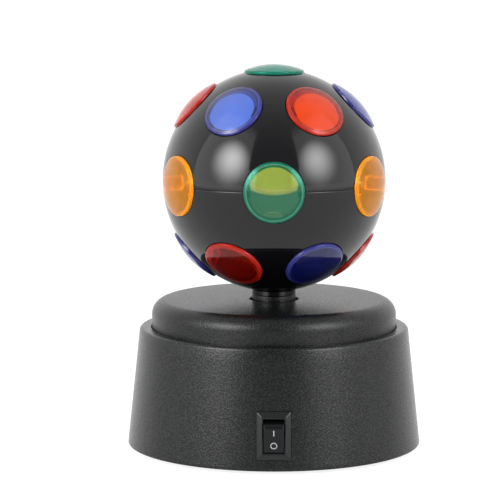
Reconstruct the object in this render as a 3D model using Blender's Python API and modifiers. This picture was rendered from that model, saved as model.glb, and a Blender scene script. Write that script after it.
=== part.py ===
"""Rotating stage light: a lens-studded ball that a geared motor turns on a round battery base.

Metres, +Z up.  The origin is on the floor under the ball, on the axis that the ball turns about.
The front, with the rocker switch, faces -Y.
"""

import math

import bmesh
import bpy
from mathutils import Matrix, Vector

# Clearances
SEAT_GAP = 0.0003
CUT_OVERRUN = 0.0010
MERGE_DISTANCE = 0.00001

# Facets
DRUM_SEGMENTS = 36
BALL_SEGMENTS = 30
BALL_RINGS = 6
LENS_SEGMENTS = 12
LENS_DOME_STEPS = 2
SMALL_SEGMENTS = 10
MEDIUM_SEGMENTS = 16
SHARP_ANGLE = math.radians(35.0)

# Base drum
DRUM_FOOT_RADIUS = 0.0660
DRUM_FLARE = 0.0055
DRUM_WALL = 0.0022
DRUM_EDGE_RADIUS = 0.0030
LEDGE_WIDTH = 0.0055
LEDGE_OVER_DECK = 0.0113

# Top cap
CAP_STEP_HEIGHT = 0.0132
CAP_WALL = 0.0022
CAP_EDGE_RADIUS = 0.0066
CAP_FLANGE_REACH = 0.0030
CAP_FLANGE_THICKNESS = 0.0012
CAP_HUB_WALL = 0.0022
CAP_HUB_DEPTH = 0.0120

# Rubber feet
FOOT_RADIUS = 0.0055
FOOT_THICKNESS = 0.0015
FOOT_EDGE = 0.0004
FOOT_RING_INSET = 0.0115
FOOT_ANGLES = (45.0, 135.0, 225.0, 315.0)

# Bottom plate
PLATE_THICKNESS = 0.0030
PILLAR_RADIUS = 0.0025
PLATE_SCREW_RING_INSET = 0.0085
PLATE_SCREW_ANGLES = (90.0, 210.0, 330.0)
PLATE_BOSS_RADIUS = 0.0034
PLATE_BOSS_HEIGHT = 0.0120
PLATE_BOSS_WEB = 0.0024

# Self-tapping screws
SCREW_SHANK_RADIUS = 0.0013
SCREW_HEAD_RADIUS = 0.0028
SCREW_HEAD_HEIGHT = 0.0014
SCREW_SLOT_WIDTH = 0.0008
SCREW_SLOT_DEPTH = 0.0006
PLATE_SCREW_BITE = 0.0085
DECK_SCREW_BITE = 0.0085
SCREW_HEAD_RECESS = 0.0004

# AA cells and their bay
CELL_RADIUS = 0.00725
CELL_LENGTH = 0.0505
CELL_SPACING = 0.0010
CELL_NUB_RADIUS = 0.00275
CELL_NUB_HEIGHT = 0.0010
CELL_EDGE = 0.0006
CELL_COUNT = 3
BAY_WALL = 0.0018
BAY_END_ROOM = 0.00325
BAY_SIDE_ROOM = 0.00075
CONTACT_THICKNESS = 0.0005
CONTACT_WIDTH = 0.0110
CONTACT_HEIGHT = 0.0100
CONTACT_BUMP_RADIUS = 0.0020
CONTACT_TAG_WIDTH = 0.0030
CONTACT_TAG_HEIGHT = 0.0040

# Battery door
DOOR_THICKNESS = 0.0024
DOOR_CELL_GAP = 0.0009
DOOR_TAB_WIDTH = 0.0070
DOOR_TAB_REACH = 0.0016
DOOR_TAB_THICKNESS = 0.0010
DOOR_TAB_OFFSET = 0.0160
LATCH_WIDTH = 0.0120
LATCH_LENGTH = 0.0090
LATCH_SLIT = 0.0008
LATCH_NOSE_REACH = 0.0007
LATCH_NOSE_WIDTH = 0.0060
FINGER_GROOVE_WIDTH = 0.0080
FINGER_GROOVE_LENGTH = 0.0030
FINGER_GROOVE_DEPTH = 0.0010

# Rocker switch, on its own axes: x across, y up the wall, z out of the wall
SWITCH_OVER_PLATE = 0.0121
BEZEL_WIDTH = 0.0150
BEZEL_LENGTH = 0.0210
BEZEL_THICKNESS = 0.0020
BEZEL_RIM = 0.0006
BEZEL_BEVEL = 0.0022
ROCKER_WIDTH = 0.0088
ROCKER_FACE_LENGTH = 0.0118
ROCKER_RISE = 0.0069
ROCKER_PIVOT_DEPTH = 0.00584
ROCKER_TILT = math.radians(11.0)
ROCKER_KEEL = 0.0014
ROCKER_KEEL_LENGTH = 0.0044
ROCKER_PIN_RADIUS = 0.0010
ROCKER_PIN_LENGTH = 0.0012
SWITCH_SIDE_WALL = 0.0017
SWITCH_END_WALL = 0.0020
SWITCH_BODY_DEPTH = 0.0120
SWITCH_WELL_DEPTH = 0.0090
SWITCH_BLADE_WIDTH = 0.0048
SWITCH_BLADE_THICKNESS = 0.0008
SWITCH_BLADE_LENGTH = 0.0070
SWITCH_BLADE_ROOT = 0.0020
SWITCH_BLADE_SPREAD = 0.0070

# Gear deck and its posts
DECK_CAP_INSET = 0.0070
DECK_THICKNESS = 0.0024
DECK_POST_RING_INSET = 0.0060
DECK_POST_ANGLES = (30.0, 150.0, 270.0)
DECK_POST_RADIUS = 0.0035

# Ball
BALL_RADIUS = 0.0500
BALL_OVER_CAP = 0.0037
BALL_WALL = 0.0020
LIP_HEIGHT = 0.0025
LIP_THICKNESS = 0.0010
LIP_ROOT = 0.0030
BALL_BOSS_REACH = 0.0013
NUT_SEAT_MARGIN = 0.0002

# Lenses
LENS_RADIUS = 0.0133
LENS_SINK = 0.0004
LENS_FLANGE = 0.0012
LENS_DOME_RADIUS = 0.0340
LENS_WALL = 0.0016
LENS_RIM = 0.0032
LENS_SEAT_LEDGE = 0.0011
LEG_WIDTH = 0.0055
LEG_THICKNESS = 0.0011
LEG_LENGTH = 0.0054
LEG_HOOK = 0.0014
LEG_HOOK_HEIGHT = 0.0024
LENS_ROW_LATITUDE = 43.5
LENS_ROW_COUNT = 6
LENS_ROW_START = -90.0
LENS_BELT_START = 0.0

# Spindle, bush, washer and nut
SPINDLE_POST_GAP = 0.0011
NECK_CAP_GAP = 0.0014
NECK_BUSH_GAP = 0.0004
JOURNAL_STEP = 0.0016
GEAR_SEAT_RADIUS = 0.0064
GEAR_SEAT_FLAT_DEPTH = 0.0010
SPIGOT_RADIUS = 0.0060
BUSH_WALL = 0.0026
BUSH_LENGTH = 0.0085
BUSH_FLANGE_REACH = 0.0020
BUSH_FLANGE_THICKNESS = 0.0015
WASHER_COLLAR_GAP = 0.0010
WASHER_HUB_INSET = 0.0005
WASHER_THICKNESS = 0.0010
NUT_WALL = 0.0030
NUT_THICKNESS = 0.0026
NUT_SIDES = 6
SPIGOT_OVERHANG = 0.0006

# Gears
GEAR_MODULE = 0.0010
GEAR_TEETH = 48
PINION_TEETH = 12
PRESSURE_ANGLE = math.radians(25.0)
TOOTH_ADDENDUM_SHARE = 0.8
TOOTH_DEDENDUM_SHARE = 1.1
TOOTH_BACKLASH = 0.0003
GEAR_FACE = 0.0050
GEAR_HUB_WALL = 0.0031
GEAR_HUB_UNDER = 0.0010
GEAR_HUB_OVER = 0.0007
GEAR_WINDOW_RADIUS = 0.0036
GEAR_WINDOW_COUNT = 4
PINION_HUB_RADIUS = 0.0035
PINION_SHAFT_RADIUS = 0.0020
PINION_SHAFT_DEPTH = 0.0080

# Geared motor
MOTOR_RADIUS = 0.0170
MOTOR_HEIGHT = 0.0140
MOTOR_OVER_BAY = 0.0040
MOTOR_EDGE = 0.0010
MOTOR_BOSS_RADIUS = 0.0050
MOTOR_EAR_REACH = 0.0050
MOTOR_EAR_WIDTH = 0.0080
MOTOR_EAR_THICKNESS = 0.0012
MOTOR_EAR_HOLE_RADIUS = 0.0015
MOTOR_EAR_HOLE_INSET = 0.0030

# Lamp
POST_RADIUS = 0.0025
POST_BORE_RADIUS = 0.0016
POST_FLANGE_RADIUS = 0.0060
POST_FLANGE_THICKNESS = 0.0015
POST_COLLAR_REACH = 0.0007
POST_COLLAR_HEIGHT = 0.0007
BOARD_RADIUS = 0.0090
BOARD_THICKNESS = 0.0016
LED_RADIUS = 0.0050
LED_RIM_REACH = 0.0006
LED_RIM_HEIGHT = 0.0010
LED_HEIGHT = 0.0131
LED_TOP_DROP = 0.0120

# Leads, with the points that a lead passes between its two ends
LEAD_RADIUS = 0.0008
LAMP_LEAD_RADIUS = 0.0011
LEAD_STRAIGHT = 0.0050
LEAD_STEPS = 4
BATTERY_LEAD_ROUTE = ((-0.0230, -0.0260, 0.0310), (-0.0080, -0.0340, 0.0250))
MOTOR_LEAD_ROUTE = (
    (0.0050, -0.0330, 0.0170),
    (0.0060, -0.0270, 0.0270),
    (0.0020, -0.0080, 0.0300),
    (0.0030, 0.0085, 0.0290),
    (0.0091, 0.0141, 0.0285),
    (0.0165, 0.0175, 0.0290),
    (0.0240, 0.0170, 0.0320),
)
LAMP_LEAD_ROUTE = ((0.0, 0.0060, 0.0325), (0.0, 0.0014, 0.0345), (0.0, 0.0, 0.0382))

# Radii that follow from the sizes
DRUM_SHOULDER_RADIUS = DRUM_FOOT_RADIUS - DRUM_FLARE
CAP_RADIUS = DRUM_SHOULDER_RADIUS - LEDGE_WIDTH
FOOT_RING_RADIUS = DRUM_FOOT_RADIUS - FOOT_RING_INSET
PLATE_SCREW_RING_RADIUS = DRUM_FOOT_RADIUS - PLATE_SCREW_RING_INSET
CELL_PITCH = 2 * CELL_RADIUS + CELL_SPACING
BAY_HALF_LENGTH = CELL_LENGTH / 2 + BAY_END_ROOM
BAY_HALF_WIDTH = (CELL_COUNT - 1) * CELL_PITCH / 2 + CELL_RADIUS + BAY_SIDE_ROOM
GEAR_PITCH_RADIUS = GEAR_MODULE * GEAR_TEETH / 2
PINION_PITCH_RADIUS = GEAR_MODULE * PINION_TEETH / 2
PINION_AXIS_Y = GEAR_PITCH_RADIUS + PINION_PITCH_RADIUS
TOOTH_ADDENDUM = GEAR_MODULE * TOOTH_ADDENDUM_SHARE
TOOTH_DEDENDUM = GEAR_MODULE * TOOTH_DEDENDUM_SHARE
DECK_RADIUS = CAP_RADIUS - DECK_CAP_INSET
DECK_POST_RING_RADIUS = DECK_RADIUS - DECK_POST_RING_INSET
JOURNAL_RADIUS = GEAR_SEAT_RADIUS + JOURNAL_STEP
GEAR_SEAT_FLAT = GEAR_SEAT_RADIUS - GEAR_SEAT_FLAT_DEPTH
GEAR_HUB_RADIUS = GEAR_SEAT_RADIUS + GEAR_HUB_WALL
BUSH_RADIUS = JOURNAL_RADIUS + SEAT_GAP + BUSH_WALL
CAP_HOLE_RADIUS = BUSH_RADIUS + SEAT_GAP
NECK_RADIUS = CAP_HOLE_RADIUS - NECK_CAP_GAP
BALL_BOSS_RADIUS = NECK_RADIUS
NUT_RADIUS = SPIGOT_RADIUS + NUT_WALL
NUT_SEAT_RADIUS = NUT_RADIUS + NUT_SEAT_MARGIN
SPINDLE_BORE_RADIUS = POST_RADIUS + SPINDLE_POST_GAP
WASHER_RADIUS = GEAR_HUB_RADIUS - WASHER_HUB_INSET
WASHER_BORE_RADIUS = POST_RADIUS + POST_COLLAR_REACH + WASHER_COLLAR_GAP
LENS_HOLE_RADIUS = LENS_RADIUS - LENS_SEAT_LEDGE

# Heights that follow, from the floor up
DRUM_FOOT_Z = FOOT_THICKNESS
PLATE_BOTTOM_Z = FOOT_THICKNESS + SEAT_GAP
PLATE_TOP_Z = PLATE_BOTTOM_Z + PLATE_THICKNESS
SWITCH_CENTRE_Z = PLATE_TOP_Z + SWITCH_OVER_PLATE
DOOR_TOP_Z = PLATE_BOTTOM_Z + DOOR_THICKNESS
CELL_CENTRE_Z = DOOR_TOP_Z + DOOR_CELL_GAP + CELL_RADIUS
BAY_ROOF_Z = CELL_CENTRE_Z + CELL_RADIUS + SEAT_GAP
MOTOR_BOTTOM_Z = BAY_ROOF_Z + BAY_WALL + MOTOR_OVER_BAY
DECK_UNDER_Z = MOTOR_BOTTOM_Z + MOTOR_HEIGHT + SEAT_GAP
DECK_TOP_Z = DECK_UNDER_Z + DECK_THICKNESS
DECK_POST_FOOT_Z = DECK_TOP_Z + SEAT_GAP
DRUM_TOP_Z = DECK_TOP_Z + LEDGE_OVER_DECK
WALL_SLANT = math.atan2(DRUM_FOOT_RADIUS - DRUM_SHOULDER_RADIUS, DRUM_TOP_Z - DRUM_FOOT_Z)
LEDGE_UNDER_Z = DRUM_TOP_Z - DRUM_WALL
CAP_FLANGE_TOP_Z = LEDGE_UNDER_Z - SEAT_GAP
CAP_FLANGE_BOTTOM_Z = CAP_FLANGE_TOP_Z - CAP_FLANGE_THICKNESS
CAP_TOP_Z = DRUM_TOP_Z + CAP_STEP_HEIGHT
CAP_UNDER_Z = CAP_TOP_Z - CAP_WALL
CAP_HUB_BOTTOM_Z = CAP_TOP_Z - CAP_HUB_DEPTH
WASHER_BOTTOM_Z = DECK_TOP_Z + SEAT_GAP
GEAR_HUB_BOTTOM_Z = WASHER_BOTTOM_Z + WASHER_THICKNESS + SEAT_GAP
GEAR_BOTTOM_Z = GEAR_HUB_BOTTOM_Z + GEAR_HUB_UNDER
GEAR_TOP_Z = GEAR_BOTTOM_Z + GEAR_FACE
GEAR_HUB_TOP_Z = GEAR_TOP_Z + GEAR_HUB_OVER
GEAR_SHOULDER_Z = GEAR_HUB_TOP_Z + SEAT_GAP
BUSH_FLANGE_TOP_Z = CAP_HUB_BOTTOM_Z - SEAT_GAP
BUSH_TOP_Z = BUSH_FLANGE_TOP_Z + BUSH_LENGTH
NECK_SHOULDER_Z = BUSH_TOP_Z + NECK_BUSH_GAP
BALL_CENTRE_Z = CAP_TOP_Z + BALL_OVER_CAP + BALL_RADIUS
BALL_BOTTOM_Z = BALL_CENTRE_Z - BALL_RADIUS - BALL_BOSS_REACH
NECK_TOP_Z = BALL_BOTTOM_Z - SEAT_GAP
NUT_SEAT_DROP = math.sqrt((BALL_RADIUS - BALL_WALL) ** 2 - NUT_SEAT_RADIUS ** 2)
LED_TOP_Z = BALL_CENTRE_Z - LED_TOP_DROP
LED_BOTTOM_Z = LED_TOP_Z - LED_HEIGHT
BOARD_BOTTOM_Z = LED_BOTTOM_Z - SEAT_GAP - BOARD_THICKNESS

# Heights that follow on a lens's own axes, from the ball's centre
LENS_SEAT_HEIGHT = math.sqrt(BALL_RADIUS ** 2 - LENS_RADIUS ** 2) - LENS_SINK
LENS_BASE_HEIGHT = LENS_SEAT_HEIGHT + SEAT_GAP
LEG_FOOT_HEIGHT = LENS_BASE_HEIGHT - LEG_LENGTH


# Helpers for scene, finishes and shapes

def clear_scene():
    """Remove whatever the scene held before."""
    for thing in list(bpy.data.objects):
        bpy.data.objects.remove(thing, do_unlink=True)


def new_collection(name):
    """Add a collection to the scene."""
    collection = bpy.data.collections.new(name)
    bpy.context.scene.collection.children.link(collection)
    return collection


def finish(name, colour, roughness, metallic=0.0, transmission=0.0):
    """Make a Principled material."""
    material = bpy.data.materials.new(name)
    material.use_nodes = True
    shader = material.node_tree.nodes["Principled BSDF"]
    shader.inputs["Base Color"].default_value = (*colour, 1.0)
    shader.inputs["Roughness"].default_value = roughness
    shader.inputs["Metallic"].default_value = metallic
    shader.inputs["Transmission Weight"].default_value = transmission
    material.diffuse_color = (*colour, 1.0)
    return material


def part(name, mesh, material, place=None):
    """Put a mesh in the parts collection as a named piece."""
    piece = bpy.data.objects.new(name, mesh)
    if material is not None and not mesh.materials:
        mesh.materials.append(material)
    if place is not None:
        piece.matrix_world = place
    PARTS.objects.link(piece)
    return piece


def guide(name, mesh, place=None):
    """Put a mesh in the cutters collection, where it only shapes other pieces."""
    shape = bpy.data.objects.new(name, mesh)
    if place is not None:
        shape.matrix_world = place
    shape.display_type = "WIRE"
    shape.hide_render = True
    CUTTERS.objects.link(shape)
    return shape


def evaluated_mesh(thing):
    """Give an object's mesh with its modifiers or its curve worked out."""
    bpy.context.view_layer.update()
    graph = bpy.context.evaluated_depsgraph_get()
    return bpy.data.meshes.new_from_object(thing.evaluated_get(graph))


def smooth(mesh):
    """Shade a mesh smooth between its sharp edges."""
    mesh.shade_smooth()
    mesh.set_sharp_from_angle(angle=SHARP_ANGLE)
    return mesh


def turned_mesh(name, profile, segments):
    """Turn a profile of (radius, height) points about Z.

    The profile runs down the outer side.  One that starts and ends on the axis is left open there,
    and any other closes on itself as a ring.
    """
    mesh = bpy.data.meshes.new(name)
    points = [(radius, 0.0, height) for radius, height in profile]
    edges = [(index, index + 1) for index in range(len(points) - 1)]
    on_axis = profile[0][0] == 0.0 and profile[-1][0] == 0.0
    if not on_axis:
        edges.append((len(points) - 1, 0))
    mesh.from_pydata(points, edges, [])
    lathe = bpy.data.objects.new(name, mesh)
    CUTTERS.objects.link(lathe)
    screw = lathe.modifiers.new("turn", "SCREW")
    screw.axis = "Z"
    screw.angle = math.tau
    screw.steps = segments
    screw.render_steps = segments
    screw.use_merge_vertices = True
    screw.merge_threshold = MERGE_DISTANCE
    result = evaluated_mesh(lathe)
    result.name = name
    bpy.data.objects.remove(lathe, do_unlink=True)
    bpy.data.meshes.remove(mesh)
    return smooth(result)


def cylinder_mesh(name, spots, radius, low, high, segments):
    """Make an upright cylinder between two heights at each (x, y) spot, in one mesh."""
    mesh = bpy.data.meshes.new(name)
    shape = bmesh.new()
    for x, y in spots:
        bmesh.ops.create_cone(
            shape, cap_ends=True, segments=segments, radius1=radius, radius2=radius,
            depth=high - low, matrix=Matrix.Translation((x, y, (low + high) / 2)))
    shape.to_mesh(mesh)
    shape.free()
    return smooth(mesh)


def box_mesh(name, boxes):
    """Make a box for each (low corner, high corner) pair, in one mesh."""
    mesh = bpy.data.meshes.new(name)
    shape = bmesh.new()
    for low, high in boxes:
        low = Vector(low)
        high = Vector(high)
        size = Matrix.Diagonal((*(high - low), 1.0))
        bmesh.ops.create_cube(shape, size=1.0, matrix=Matrix.Translation((low + high) / 2) @ size)
    shape.to_mesh(mesh)
    shape.free()
    return mesh


def repeated_mesh(name, blank, places):
    """Gather a copy of a mesh at each place into one mesh."""
    mesh = bpy.data.meshes.new(name)
    shape = bmesh.new()
    for place in places:
        copy = blank.copy()
        copy.transform(place)
        shape.from_mesh(copy)
        bpy.data.meshes.remove(copy)
    shape.to_mesh(mesh)
    shape.free()
    return mesh


def flat_mesh(name, outlines, low, high):
    """Extrude closed (x, y) outlines between two heights; inner outlines are holes."""
    curve = bpy.data.curves.new(name, "CURVE")
    curve.dimensions = "2D"
    curve.fill_mode = "BOTH"
    curve.extrude = (high - low) / 2
    for outline in outlines:
        spline = curve.splines.new("POLY")
        spline.points.add(len(outline) - 1)
        for point, (x, y) in zip(spline.points, outline):
            point.co = (x, y, 0.0, 1.0)
        spline.use_cyclic_u = True
    sketch = bpy.data.objects.new(name, curve)
    CUTTERS.objects.link(sketch)
    mesh = evaluated_mesh(sketch)
    mesh.name = name
    bpy.data.objects.remove(sketch, do_unlink=True)
    bpy.data.curves.remove(curve)
    shape = bmesh.new()
    shape.from_mesh(mesh)
    bmesh.ops.remove_doubles(shape, verts=shape.verts, dist=MERGE_DISTANCE)
    bmesh.ops.translate(shape, verts=shape.verts, vec=(0.0, 0.0, (low + high) / 2))
    bmesh.ops.recalc_face_normals(shape, faces=shape.faces)
    shape.to_mesh(mesh)
    shape.free()
    return mesh


def boolean(piece, shape, operation):
    """Cut a guide shape from a piece, or join it to the piece."""
    step = piece.modifiers.new(shape.name, "BOOLEAN")
    step.operation = operation
    step.solver = "EXACT"
    step.object = shape


def cut(piece, shape):
    """Cut a guide shape from a piece."""
    boolean(piece, shape, "DIFFERENCE")


def join(piece, shape):
    """Join a guide shape to a piece."""
    boolean(piece, shape, "UNION")


def fillet(before, corner, after, radius, steps):
    """Points of the arc that rounds the corner between two straight runs."""
    corner = Vector(corner)
    to_before = (Vector(before) - corner).normalized()
    to_after = (Vector(after) - corner).normalized()
    half = to_before.angle(to_after) / 2
    reach = radius / math.tan(half)
    centre = corner + (to_before + to_after).normalized() * (radius / math.sin(half))
    start = corner + to_before * reach - centre
    end = corner + to_after * reach - centre
    first = math.atan2(start.y, start.x)
    swing = (math.atan2(end.y, end.x) - first + math.pi) % math.tau - math.pi
    angles = [first + swing * index / steps for index in range(steps + 1)]
    return [(centre.x + radius * math.cos(a), centre.y + radius * math.sin(a)) for a in angles]


def ring_spots(radius, angles):
    """The (x, y) places on a ring at angles in degrees."""
    turns = [math.radians(angle) for angle in angles]
    return [(radius * math.cos(turn), radius * math.sin(turn)) for turn in turns]


def circle_outline(radius, count, x=0.0, y=0.0):
    """A closed round outline."""
    turns = [math.tau * index / count for index in range(count)]
    return [(x + radius * math.cos(turn), y + radius * math.sin(turn)) for turn in turns]


def d_outline(radius, flat, count):
    """A round outline with one flat, which keeps a gear from slipping on its shaft."""
    half = math.acos(flat / radius)
    turns = [half + (math.tau - 2 * half) * index / count for index in range(count + 1)]
    return [(radius * math.cos(turn), radius * math.sin(turn)) for turn in turns]


# Base housing

def wall_radius(height):
    """Outer radius of the slanting drum wall at a height."""
    return DRUM_FOOT_RADIUS - (height - DRUM_FOOT_Z) * math.tan(WALL_SLANT)


def inner_wall_radius(height):
    """Inner radius of the slanting drum wall at a height."""
    return wall_radius(height) - DRUM_WALL / math.cos(WALL_SLANT)


def switch_place():
    """The switch's axes on the wall, with y up the slant and z out of it."""
    across = Vector((1.0, 0.0, 0.0))
    up = Vector((0.0, math.sin(WALL_SLANT), math.cos(WALL_SLANT)))
    out = across.cross(up)
    place = Matrix((across, up, out)).transposed().to_4x4()
    place.translation = (0.0, -wall_radius(SWITCH_CENTRE_Z), SWITCH_CENTRE_Z)
    return place


def switch_seat_depth():
    """How far the flat seat is sunk in the round wall, so that the bezel lies on it all round."""
    radius = wall_radius(SWITCH_CENTRE_Z)
    half = BEZEL_WIDTH / 2 + SEAT_GAP
    return radius - math.sqrt(radius ** 2 - half ** 2) + SEAT_GAP / 2


def make_drum_housing(material):
    """Slant-walled drum with a ledge round the cap, screw bosses and the switch's cut-out."""
    opening = CAP_RADIUS + SEAT_GAP
    shoulder = (DRUM_SHOULDER_RADIUS, DRUM_TOP_Z)
    foot = (DRUM_FOOT_RADIUS, DRUM_FOOT_Z)
    profile = [(opening, DRUM_TOP_Z)]
    profile += fillet(profile[0], shoulder, foot, DRUM_EDGE_RADIUS, 3)
    profile += [
        foot,
        (inner_wall_radius(DRUM_FOOT_Z), DRUM_FOOT_Z),
        (inner_wall_radius(LEDGE_UNDER_Z), LEDGE_UNDER_Z),
        (opening, LEDGE_UNDER_Z),
    ]
    housing = part("drum_housing", turned_mesh("drum_housing", profile, DRUM_SEGMENTS), material)

    boss_low = PLATE_TOP_Z + SEAT_GAP
    boss_high = boss_low + PLATE_BOSS_HEIGHT
    spots = ring_spots(PLATE_SCREW_RING_RADIUS, PLATE_SCREW_ANGLES)
    bosses = cylinder_mesh("plate_bosses", spots, PLATE_BOSS_RADIUS, boss_low, boss_high, MEDIUM_SEGMENTS)
    join(housing, guide("plate_bosses", bosses))
    web_end = inner_wall_radius(boss_high) + DRUM_WALL / 2
    for index, angle in enumerate(PLATE_SCREW_ANGLES, start=1):
        low = (PLATE_SCREW_RING_RADIUS, -PLATE_BOSS_WEB / 2, boss_low + CUT_OVERRUN / 2)
        high = (web_end, PLATE_BOSS_WEB / 2, boss_high - CUT_OVERRUN / 2)
        name = f"plate_boss_web_{index}"
        turn = Matrix.Rotation(math.radians(angle), 4, "Z")
        join(housing, guide(name, box_mesh(name, [(low, high)]), turn))
    hole_high = boss_low + PLATE_SCREW_BITE + SEAT_GAP
    holes = cylinder_mesh("plate_boss_holes", spots, SCREW_SHANK_RADIUS + SEAT_GAP,
                          boss_low - CUT_OVERRUN, hole_high, SMALL_SEGMENTS)
    cut(housing, guide("plate_boss_holes", holes))

    seat = switch_seat_depth()
    half_width = BEZEL_WIDTH / 2 + SEAT_GAP
    half_length = BEZEL_LENGTH / 2 + SEAT_GAP
    pocket = ((-half_width, -half_length, -seat), (half_width, half_length, CUT_OVERRUN))
    half_width = switch_body_width() / 2 + SEAT_GAP
    half_length = switch_body_length() / 2 + SEAT_GAP
    window = ((-half_width, -half_length, -seat - DRUM_WALL - CUT_OVERRUN),
              (half_width, half_length, -seat + CUT_OVERRUN))
    for name, corners in (("switch_pocket", pocket), ("switch_window", window)):
        cut(housing, guide(name, box_mesh(name, [corners]), switch_place()))
    return housing


def make_top_cap(material):
    """Stepped cap with a flange under the drum's ledge, a bush hub and posts for the gear deck."""
    hub_radius = CAP_HOLE_RADIUS + CAP_HUB_WALL
    flange_radius = CAP_RADIUS + CAP_FLANGE_REACH
    inner = CAP_RADIUS - CAP_WALL
    top = (CAP_HOLE_RADIUS, CAP_TOP_Z)
    brow = (CAP_RADIUS, CAP_TOP_Z)
    skirt = (CAP_RADIUS, CAP_FLANGE_TOP_Z)
    profile = [top]
    profile += fillet(top, brow, skirt, CAP_EDGE_RADIUS, 4)
    profile += [
        skirt,
        (flange_radius, CAP_FLANGE_TOP_Z),
        (flange_radius, CAP_FLANGE_BOTTOM_Z),
        (inner, CAP_FLANGE_BOTTOM_Z),
    ]
    under = (hub_radius, CAP_UNDER_Z)
    profile += fillet(profile[-1], (inner, CAP_UNDER_Z), under, CAP_EDGE_RADIUS - CAP_WALL, 1)
    profile += [under, (hub_radius, CAP_HUB_BOTTOM_Z), (CAP_HOLE_RADIUS, CAP_HUB_BOTTOM_Z)]
    cap = part("top_cap", turned_mesh("top_cap", profile, DRUM_SEGMENTS), material)

    spots = ring_spots(DECK_POST_RING_RADIUS, DECK_POST_ANGLES)
    posts = cylinder_mesh("deck_posts", spots, DECK_POST_RADIUS, DECK_POST_FOOT_Z,
                          CAP_UNDER_Z + CAP_WALL / 2, SMALL_SEGMENTS)
    join(cap, guide("deck_posts", posts))
    hole_high = DECK_POST_FOOT_Z + DECK_SCREW_BITE + SEAT_GAP
    holes = cylinder_mesh("deck_post_holes", spots, SCREW_SHANK_RADIUS + SEAT_GAP,
                          DECK_POST_FOOT_Z - CUT_OVERRUN, hole_high, SMALL_SEGMENTS)
    cut(cap, guide("deck_post_holes", holes))
    return cap


def make_bottom_plate(material):
    """Base plate with the battery bay, four pillars that press the cap up, and screw recesses."""
    radius = inner_wall_radius(PLATE_TOP_Z) - SEAT_GAP
    profile = [(0.0, PLATE_TOP_Z), (radius, PLATE_TOP_Z), (radius, PLATE_BOTTOM_Z), (0.0, PLATE_BOTTOM_Z)]
    plate = part("bottom_plate", turned_mesh("bottom_plate", profile, DRUM_SEGMENTS), material)

    shell_x = BAY_HALF_LENGTH + BAY_WALL
    shell_y = BAY_HALF_WIDTH + BAY_WALL
    middle_z = (PLATE_BOTTOM_Z + PLATE_TOP_Z) / 2
    shell = ((-shell_x, -shell_y, middle_z), (shell_x, shell_y, BAY_ROOF_Z + BAY_WALL))
    join(plate, guide("bay_shell", box_mesh("bay_shell", [shell])))
    pillars = cylinder_mesh("cap_pillars", ring_spots(FOOT_RING_RADIUS, FOOT_ANGLES), PILLAR_RADIUS,
                            middle_z, CAP_FLANGE_BOTTOM_Z - SEAT_GAP, SMALL_SEGMENTS)
    join(plate, guide("cap_pillars", pillars))

    room = ((-BAY_HALF_LENGTH, -BAY_HALF_WIDTH, PLATE_BOTTOM_Z - CUT_OVERRUN),
            (BAY_HALF_LENGTH, BAY_HALF_WIDTH, BAY_ROOF_Z))
    cut(plate, guide("bay_room", box_mesh("bay_room", [room])))
    cut(plate, guide("door_slots", box_mesh("door_slots", door_catches(SEAT_GAP))))

    spots = ring_spots(PLATE_SCREW_RING_RADIUS, PLATE_SCREW_ANGLES)
    seat_z = PLATE_BOTTOM_Z + SCREW_HEAD_RECESS + SCREW_HEAD_HEIGHT + SEAT_GAP
    recesses = cylinder_mesh("screw_recesses", spots, SCREW_HEAD_RADIUS + SEAT_GAP,
                             PLATE_BOTTOM_Z - CUT_OVERRUN, seat_z, MEDIUM_SEGMENTS)
    cut(plate, guide("screw_recesses", recesses))
    holes = cylinder_mesh("screw_holes", spots, SCREW_SHANK_RADIUS + SEAT_GAP,
                          PLATE_BOTTOM_Z, PLATE_TOP_Z + CUT_OVERRUN, SMALL_SEGMENTS)
    cut(plate, guide("screw_holes", holes))
    return plate


def make_rubber_feet(material):
    """Four glued rubber feet under the pillars."""
    profile = [
        (0.0, FOOT_THICKNESS),
        (FOOT_RADIUS, FOOT_THICKNESS),
        (FOOT_RADIUS, FOOT_EDGE),
        (FOOT_RADIUS - FOOT_EDGE, 0.0),
        (0.0, 0.0),
    ]
    mesh = turned_mesh("rubber_foot", profile, MEDIUM_SEGMENTS)
    for index, (x, y) in enumerate(ring_spots(FOOT_RING_RADIUS, FOOT_ANGLES), start=1):
        part(f"rubber_foot_{index}", mesh, material, Matrix.Translation((x, y, 0.0)))


def make_screws(name, spots, head_z, shank_top_z, material):
    """Screws driven from below, with their heads down and a slot across each head."""
    profile = [
        (0.0, shank_top_z - head_z),
        (SCREW_SHANK_RADIUS, shank_top_z - head_z),
        (SCREW_SHANK_RADIUS, SCREW_HEAD_HEIGHT),
        (SCREW_HEAD_RADIUS, SCREW_HEAD_HEIGHT),
        (SCREW_HEAD_RADIUS, 0.0),
        (0.0, 0.0),
    ]
    mesh = turned_mesh(name, profile, SMALL_SEGMENTS)
    low = (-SCREW_HEAD_RADIUS - CUT_OVERRUN, -SCREW_SLOT_WIDTH / 2, -CUT_OVERRUN)
    high = (SCREW_HEAD_RADIUS + CUT_OVERRUN, SCREW_SLOT_WIDTH / 2, SCREW_SLOT_DEPTH)
    slot_mesh = box_mesh(f"{name}_slot", [(low, high)])
    for index, (x, y) in enumerate(spots, start=1):
        place = Matrix.Translation((x, y, head_z))
        screw = part(f"{name}_{index}", mesh, material, place)
        cut(screw, guide(f"{name}_slot_{index}", slot_mesh, place))


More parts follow.
